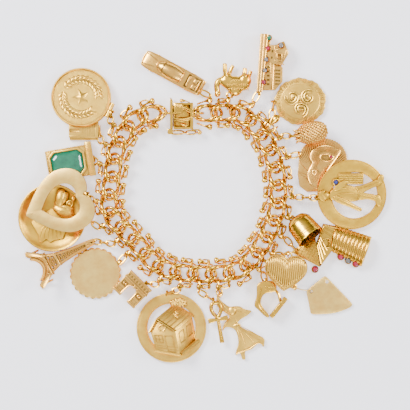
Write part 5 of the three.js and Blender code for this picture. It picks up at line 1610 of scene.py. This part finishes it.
def make_car():
    stations = [
        (-11.6, 2.2, 0.9, 1.6), (-11.3, 2.8, 0.6, 2.1), (-10.2, 3.15, 0.45, 2.5), (-7.0, 3.3, 0.4, 2.75),
        (-3, 3.3, 0.4, 2.8), (2, 3.3, 0.4, 2.8), (6.5, 3.3, 0.4, 2.75), (9.8, 3.25, 0.45, 2.65),
        (11.2, 3.0, 0.6, 2.5), (11.6, 2.8, 0.9, 2.2),
    ]
    rows = []
    for x, w, low, high in stations:
        middle = (low + high) / 2
        rows.append(
            [
                (x, -w, middle), (x, -w * 0.96, high - 0.25), (x, -w * 0.85, high), (x, 0, high + 0.15),
                (x, w * 0.85, high), (x, w * 0.96, high - 0.25), (x, w, middle), (x, w * 0.92, low),
                (x, 0, low), (x, -w * 0.92, low),
            ]
        )
    count = len(rows[0])
    faces = [tuple(range(count)), tuple(range((len(rows) - 1) * count, len(rows) * count))]
    for i in range(len(rows) - 1):
        faces += [
            (
                i * count + j, i * count + (j + 1) % count, (i + 1) * count + (j + 1) % count,
                (i + 1) * count + j,
            )
            for j in range(count)
        ]
    body = outward(from_faces([p for row in rows for p in row], faces))
    modify(body, "SUBSURF", levels=2, render_levels=2)
    cut(body, box((5.4, 4.9, 2.0), (8.0, 0, 1.3), edge=0.1))
    cabin = ball((5.9, 2.75, 2.3), (-0.5, 0, 2.5), segments=40, rings=24)
    screen = turned([(7.0, 0.0), (7.45, 0.0), (7.45, 4.0), (7.0, 4.0)], 96)
    cut(cabin, box((4.6, 4.5, 4), (3.4 + 2.3, 0, 2.4), edge=0), moved(screen, 3.4, 0, 2.9))
    edge = traced(
        [
            [
                (-0.4, -2.75, 2.7), (-3.2, -2.4, 2.72), (-5.4, -1.3, 2.75), (-6.3, 0, 2.78),
                (-5.4, 1.3, 2.75), (-3.2, 2.4, 2.72), (-0.4, 2.75, 2.7),
            ],
        ],
        0.3,
    )
    back = traced(
        [[(3.4, -2.3, 2.8), (3.5, -1.6, 3.9), (3.6, 0, 4.4), (3.5, 1.6, 3.9), (3.4, 2.3, 2.8)]], 0.4
    )
    seats = [box((1.5, 1.7, 0.9), (8.6, s * 1.1, 1.2), edge=0.3) for s in (-1, 1)]
    seats += [
        box((0.8, 4.0, 1.0), (6.2, 0, 1.25), edge=0.25), box((0.5, 4.2, 0.8), (10.0, 0, 1.25), edge=0.2)
    ]
    lines = wires(
        [
            flow([(-11.2, s * 1.9, 2.2), (-9.2, s * 1.7, 2.75), (-6.8, s * 1.2, 2.95)], 4, False)
            for s in (-1, 1)
        ] + [flow([(-11.3, -2.2, 1.9), (-11.7, 0, 1.95), (-11.3, 2.2, 1.9)], 4, False)],
        0.28,
    )
    lamps = [ball((0.45, 0.5, 0.4), (-11.1, s * 2.2, 1.8), segments=12, rings=8) for s in (-1, 1)]
    wheels = [
        wires([[(x, s * 2.4, 0.95), (x, s * 3.3, 0.95)]], 1.8, sides=18)
        for x in (-7.2, 7.0) for s in (-1, 1)
    ]
    bumper = wires([[(11.6, -2.8, 1.7), (11.7, 2.8, 1.7)]], 0.5)
    charm(
        "car", [body, cabin, edge, back, *seats, lines, *lamps, *wheels, bumper], FINISH["rose"],
    )


# Natural forms


def make_shell():
    w, h = 8.5, 10.0
    hinge = (-1.6, -5.0)
    rim = []
    for i in range(61):
        a = math.radians(-14 + 3.32 * i)
        flute = 1.0 if i % 2 == 0 else 0.965
        rim.append(((math.cos(a) * w + 0.6) * flute, (math.sin(a) * h * 0.72 + h * 0.28) * flute))
    tail = [
        (-w * 0.98, -h * 0.3), (-w * 0.9, -h * 0.7), (-w * 0.6, -h * 0.9), (-w * 0.2, -h * 0.9),
        (w * 0.1, -h * 0.6), (w * 0.6, -h * 0.2),
    ]
    base = plate(rim + tail, 0, 0.9, 0.1)
    ridges = []
    for i in range(0, 61, 2):
        end = lerp(rim[i], hinge, 0.015)
        ridges.append(
            [
                (*lerp(hinge, end, t), 0.75 + 0.4 * math.sin(math.pi * min(1, 0.2 + t * 0.8)))
                for t in (0.25, 0.5, 0.7, 0.85, 1)
            ]
        )
    for i in range(9):
        end = (-w * 0.97 + 0.12 * i * w, -h * 0.2 - 0.09 * i * h * (i < 7) - 0.6 * h * (i >= 7))
        ridges.append([(*lerp(hinge, end, t), 0.85) for t in (0.3, 0.6, 1)])
    lobes = [
        (
            math.cos(math.radians(20 + 24 * i)) * w * 0.62 + w * 0.16,
            math.sin(math.radians(20 + 24 * i)) * h * 0.42 + h * 0.3,
        )
        for i in range(9)
    ]
    lobes += [(-w * 0.56, -h * 0.3), (-w * 0.42, -h * 0.66), (-w * 0.06, -h * 0.78), (w * 0.1, -h * 0.34)]
    lobes = flow(lobes, 4)
    face = plate(lobes, 1.2, 2.4, 0.45)
    centre = (w * 0.22, h * 0.3)
    cut(
        face,
        placed(
            turned([(0, 0), (1, 0), (1, 3), (0, 3)], 32),
            Matrix.Translation((*centre, 1.8)) @ Matrix.Diagonal((2.2, 1.15, 1, 1)),
        ),
    )
    rays = []
    for lobe in lobes:
        rays.append([(*lerp(lobe, centre, 0.5), 2.45), (*lerp(lobe, centre, 0.1), 2.38)])
    edge = wires([[(x, y, 2.2) for x, y in lobes]], 0.6, True)
    mouth = wires([oval(Vector((*centre, 2.4)), EAST, UP, 2.35, 1.3)], 0.5, True)
    hatch = [
        [
            (centre[0] - 1.8 + 0.6 * i, centre[1] - 0.9, 1.95),
            (centre[0] - 1.4 + 0.6 * i, centre[1] + 0.9, 1.95),
        ]
        for i in range(6)
    ]
    lower = wires([oval(Vector((-2.6, -2.3, 2.4)), NORTH, UP, 0.9, 0.6)], 0.45, True)
    seats = [(3.3, 3.2)]
    cups = [
        moved(turned([(0, 2.2), (0.7, 2.2), (0.75, 2.7), (0.5, 2.85), (0.4, 2.6), (0, 2.6)], 16), x, y)
        for x, y in seats
    ]
    parts = [
        base, wires(ridges, 0.72, ends=0.8, sides=6), face, wires(rays, 0.26, sides=6), edge, mouth,
        wires(hatch, 0.22, sides=6), lower, *cups,
    ]
    charm("shell", parts, FINISH["rose"])
    for i, (x, y) in enumerate(seats):
        small_stone("shell", f"shell_stone_{i + 1}", (x, y, 2.65), 0.55, "red")


def make_pine_cone():
    half, r = 5.25, 3.8
    core = ball((r * 0.88, half * 0.95, r * 0.88), segments=24, rings=16)
    scale = ball((0.72, 0.62, 0.5), (0, 0, 0), segments=10, rings=6)
    spots = []
    for ring in range(15):
        share = -0.93 + 0.122 * ring
        reach = r * math.sqrt(1 - share * share)
        count = max(5, round(17 * math.sqrt(1 - share * share)))
        for k in range(count):
            a = 2 * math.pi * (k + 0.5 * (ring % 2)) / count
            spots.append(
                Matrix.Rotation(a, 4, "Y")
                @ Matrix.Translation((0, half * share, reach * 0.93))
                @ Matrix.Rotation(math.radians(62 * share), 4, "X")
            )
    leaf = wires(
        [[(0, 3.6, 2.0), (0, 4.6, 1.7), (0, 5.6, 1.9), (0, 6.5, 2.6)]], 1.2, False, 8, 1,
        [1.0, 1.2, 0.8, 0.1],
    )
    leaves = copies(leaf, [Matrix.Rotation(2 * math.pi * k / 7, 4, "Y") for k in range(7)])
    stalk = wires([[(0, 4.0, 0), (0, 5.6, 0)]], 1.6, sides=10)
    charm("pine_cone", [core, *copies(scale, spots), *leaves, stalk], FINISH["rose"], smooth=60)


def make_bud():
    profile = [
        (0, -2.2), (0.7, -2.0), (1.15, -1.2), (1.28, -0.4), (1.05, 0.6), (0.6, 1.5), (0.35, 2.2), (0, 2.4)
    ]
    body = placed(turned(flow(profile, 2, False), 28), Matrix.Rotation(math.radians(-90), 4, "X"))
    grooves = []
    for k in range(7):
        a = 2 * math.pi * k / 7
        line = [
            (reach * math.cos(a), y, reach * math.sin(a))
            for reach, y in ((0.35, -2.1), (1.1, -1.2), (1.28, -0.3), (0.95, 0.9), (0.5, 1.9))
        ]
        grooves.append(flow(line, 3, False))
    collar = wires(
        [[(0.55 * math.cos(0.4 * i), 1.7, 0.55 * math.sin(0.4 * i)) for i in range(16)]], 0.35, True
    )
    charm("bud", [body, wires(grooves, 0.3), collar], FINISH["polished"])


def make_camel():
    z = 1.6
    forms = [
        ball((5.0, 2.7, 1.6), (1.2, -1.4, z), -4, 24, 16), ball((2.6, 2.6, 1.5), (0.9, -3.2, z), 0, 24, 16),
        ball((2.6, 2.4, 1.5), (-2.0, -0.3, z), 20), ball((2.4, 2.6, 1.5), (4.2, -0.4, z), -20),
        ball((1.3, 1.1, 1.1), (-5.2, -4.9, z), 70),
    ]
    legs = [
        ([(-2.2, 0.4, 2.1), (-2.6, 3.2, 2.3), (-2.7, 5.7, 2.2)], 1.7),
        ([(-1.4, 0.4, 1.0), (-0.8, 3.0, 1.0), (0.3, 5.1, 1.0)], 1.5),
        ([(4.0, 0.4, 2.1), (4.2, 2.2, 2.3), (4.4, 4.1, 2.2)], 1.7),
        ([(5.2, 0.2, 1.0), (5.9, 1.6, 1.0), (6.5, 3.2, 1.0)], 1.5),
        ([(-3.2, 0.2, z), (-4.8, -0.4, z), (-5.5, -2.2, z), (-5.2, -4.6, z)], 2.2),
        ([(5.6, -1.6, z), (5.0, -3.2, z)], 0.7),
    ]
    forms += [traced([line], size, sides=12, ends=0.85) for line, size in legs]
    body = melted(forms, 0.17, 2)
    fur = []
    for i in range(24):
        for row in range(3):
            x = -2.4 + 0.34 * i
            y = 0.4 - 1.5 * row - 0.3 * (i % 2)
            inside = 1 - ((x - 1.2) / 5.2) ** 2 - ((y + 1.4) / 3.8) ** 2
            if inside > 0.12:
                top = z + 1.5 * math.sqrt(inside)
                fur.append([(x, y, top), (x + 0.2, y - 0.5, top + 0.03), (x + 0.25, y - 1.0, top - 0.05)])
    charm("camel", [body, wires(fur, 0.26, sides=6, ends=0.5)], FINISH["polished"], smooth=60)


def make_cup():
    r, half = 4.95, 4.5
    outer = [
        (0, half), (r * 0.35, half * 0.99), (r * 0.62, half * 0.9), (r * 0.82, half * 0.68),
        (r * 0.92, half * 0.36), (r * 0.96, 0), (r * 0.985, -half * 0.7), (r * 1.02, -half * 0.86),
        (r * 1.03, -half * 0.95), (r, -half),
    ]
    inner = [
        (r - 0.6, -half * 0.98), (r * 0.96 - 0.6, 0), (r * 0.84 - 0.6, half * 0.5), (r * 0.4, half * 0.76),
        (0, half * 0.8),
    ]
    body = placed(turned(outer + inner, 72), Matrix.Rotation(math.radians(-90), 4, "X"))
    lines = []
    for y, reach in ((-half * 0.66, 0.99), (-half * 0.5, 0.985), (half * 0.46, 0.925)):
        lines.append(
            [
                (r * reach * math.cos(math.pi * i / 32), y, r * reach * math.sin(math.pi * i / 32))
                for i in range(64)
            ]
        )
    ridges = [
        [
            (3.4 * math.cos(a), half * 0.72, 3.4 * math.sin(a)),
            (3.9 * math.cos(a), -half * 0.9, 3.9 * math.sin(a)),
        ]
        for a in (math.pi * k / 9 for k in range(18))
    ]
    charm(
        "thimble_cup", [body, wires(lines, 0.22, True, 6), wires(ridges, 0.4, sides=6)], FINISH["cup"],
    )


# Stage


def make_stage():
    looks = bpy.context.scene.bracelet_finishes
    start()
    bpy.ops.mesh.primitive_plane_add(size=3)
    floor = bpy.context.object
    floor.name = "floor"
    plain = {"Base Color": looks.floor, "Roughness": 0.9, "Specular IOR Level": 0.1,
             "Emission Color": (0.94, 0.94, 1.0, 1), "Emission Strength": 0.9}
    floor.data.materials.append(blank_material("pale_floor", plain)[0])
    placed(floor, Matrix.Translation((0, 0, -0.02 * MM)))

    world = bpy.context.scene.world or bpy.data.worlds.new("studio")
    bpy.context.scene.world = world
    world.use_nodes = True
    tree = world.node_tree
    way = tree.nodes.new("ShaderNodeTexCoord")
    split = tree.nodes.new("ShaderNodeSeparateXYZ")
    ramp = tree.nodes.new("ShaderNodeValToRGB")
    ramp.color_ramp.elements[0].color = (0.05, 0.045, 0.04, 1)
    ramp.color_ramp.elements[1].color = (1, 1, 1.04, 1)
    ramp.color_ramp.elements[1].position = 0.8
    middle = ramp.color_ramp.elements.new(0.35)
    middle.color = (0.22, 0.22, 0.23, 1)
    tree.links.new(way.outputs["Generated"], split.inputs["Vector"])
    tree.links.new(split.outputs["Z"], ramp.inputs["Fac"])
    tree.links.new(ramp.outputs["Color"], tree.nodes["Background"].inputs["Color"])
    tree.nodes["Background"].inputs["Strength"].default_value = 1.1

    for name, place, size, power in (
        ("soft_left", (-0.45, 0.35, 0.55), 0.35, 11.0),
        ("soft_right", (0.55, 0.15, 0.45), 0.25, 3.5),
        ("soft_front", (0.1, -0.6, 0.5), 0.3, 3.0),
    ):
        light = bpy.data.lights.new(name, "AREA")
        light.shape = "DISK"
        light.size = size
        light.energy = power
        lamp = linked(name, light)
        lamp.location = place
        lamp.rotation_euler = Vector(place).to_track_quat("Z", "Y").to_euler()

    camera = linked("camera", bpy.data.cameras.new("camera"))
    camera.location = ((0.875 + SHIFT.x) * MM, (-2.45 + SHIFT.y) * MM, (CAMERA_HEIGHT + 3) * MM)
    camera.data.lens = camera.data.sensor_width * CAMERA_HEIGHT / VIEW_WIDTH
    camera.data.clip_start = 0.05
    bpy.context.scene.camera = camera


# Operators


class MakeStage(bpy.types.Operator):
    """Adds the floor, the lights and the camera"""

    bl_idname = "bracelet.make_stage"
    bl_label = "Stage"

    def execute(self, context):
        make_finishes()
        make_stage()
        return {"FINISHED"}


class MakeChain(bpy.types.Operator):
    """Models the double-wire links and the beaded edges of the chain"""

    bl_idname = "bracelet.make_chain"
    bl_label = "Chain"

    def execute(self, context):
        make_links(context.scene.bracelet_sizes)
        make_edges(context.scene.bracelet_sizes)
        return {"FINISHED"}


class MakeJumpRings(bpy.types.Operator):
    """Models the jump rings that hang the charms on the chain"""

    bl_idname = "bracelet.make_jump_rings"
    bl_label = "Jump rings"

    def execute(self, context):
        make_rings(context.scene.bracelet_sizes)
        return {"FINISHED"}


class MakeClasp(bpy.types.Operator):
    """Models the box clasp, its tongue and its safety catch"""

    bl_idname = "bracelet.make_clasp"
    bl_label = "Clasp"

    def execute(self, context):
        make_clasp()
        return {"FINISHED"}


class MakeRoundCharms(bpy.types.Operator):
    """Models the coin, the scalloped disc, the dish and the medallion"""

    bl_idname = "bracelet.make_round_charms"
    bl_label = "Round charms"

    def execute(self, context):
        make_coin()
        make_scalloped_disc()
        make_dish()
        make_medallion()
        return {"FINISHED"}


class MakeOpenRings(bpy.types.Operator):
    """Models the cottage in its ring and the walking figure in its ring"""

    bl_idname = "bracelet.make_open_rings"
    bl_label = "Open rings"

    def execute(self, context):
        make_cottage()
        make_figure_ring()
        return {"FINISHED"}


class MakeSetCharms(bpy.types.Operator):
    """Models the framed green stone and the ribbed case"""

    bl_idname = "bracelet.make_set_charms"
    bl_label = "Framed stone and case"

    def execute(self, context):
        make_emerald()
        make_case()
        return {"FINISHED"}


class MakeHearts(bpy.types.Operator):
    """Models the flat heart frame and the puffed ribbed heart"""

    bl_idname = "bracelet.make_hearts"
    bl_label = "Hearts"

    def execute(self, context):
        make_heart_frame()
        make_ribbed_heart()
        return {"FINISHED"}


class MakeBuildings(bpy.types.Operator):
    """Models the lattice tower, the gate arch and the town hall"""

    bl_idname = "bracelet.make_buildings"
    bl_label = "Buildings"

    def execute(self, context):
        make_tower()
        make_arch()
        make_hall()
        return {"FINISHED"}


class MakeFlatFigures(bpy.types.Operator):
    """Models the ankh, the dancer, the stirrup and the kite-shaped tag"""

    bl_idname = "bracelet.make_flat_figures"
    bl_label = "Flat figures"

    def execute(self, context):
        make_ankh()
        make_dancer()
        make_stirrup()
        make_kite()
        return {"FINISHED"}


class MakeWheeledCharms(bpy.types.Operator):
    """Models the covered wagon and the car"""

    bl_idname = "bracelet.make_wheeled_charms"
    bl_label = "Wagon and car"

    def execute(self, context):
        make_wagon()
        make_car()
        return {"FINISHED"}


class MakeNaturalForms(bpy.types.Operator):
    """Models the shell, the pine cone, the bud, the camel and the cup"""

    bl_idname = "bracelet.make_natural_forms"
    bl_label = "Shell, cone, bud, camel and cup"

    def execute(self, context):
        make_shell()
        make_pine_cone()
        make_bud()
        make_camel()
        make_cup()
        return {"FINISHED"}


MAKERS = (
    MakeStage, MakeChain, MakeJumpRings, MakeClasp, MakeRoundCharms, MakeOpenRings, MakeSetCharms,
    MakeHearts, MakeBuildings, MakeFlatFigures, MakeWheeledCharms, MakeNaturalForms,
)


class BraceletPanel(bpy.types.Panel):
    """Lists the bracelet's pieces, sizes and colours"""

    bl_idname = "VIEW3D_PT_bracelet"
    bl_label = "Charm bracelet"
    bl_space_type = "VIEW_3D"
    bl_region_type = "UI"
    bl_category = "Bracelet"

    def draw(self, context):
        for maker in MAKERS:
            self.layout.operator(maker.bl_idname)
        for group in (context.scene.bracelet_sizes, context.scene.bracelet_finishes):
            column = self.layout.column()
            for key in group.__annotations__:
                column.prop(group, key)


CLASSES = (BraceletSizes, BraceletFinishes, *MAKERS, BraceletPanel)


def register():
    for cls in CLASSES:
        bpy.utils.register_class(cls)
    bpy.types.Scene.bracelet_sizes = bpy.props.PointerProperty(type=BraceletSizes)
    bpy.types.Scene.bracelet_finishes = bpy.props.PointerProperty(type=BraceletFinishes)


def unregister():
    del bpy.types.Scene.bracelet_finishes
    del bpy.types.Scene.bracelet_sizes
    for cls in reversed(CLASSES):
        bpy.utils.unregister_class(cls)


def main():
    register()
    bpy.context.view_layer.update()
    for maker in MAKERS:
        section, action = maker.bl_idname.split(".")
        getattr(getattr(bpy.ops, section), action)()
    start()


if __name__ == "__main__":
    main()
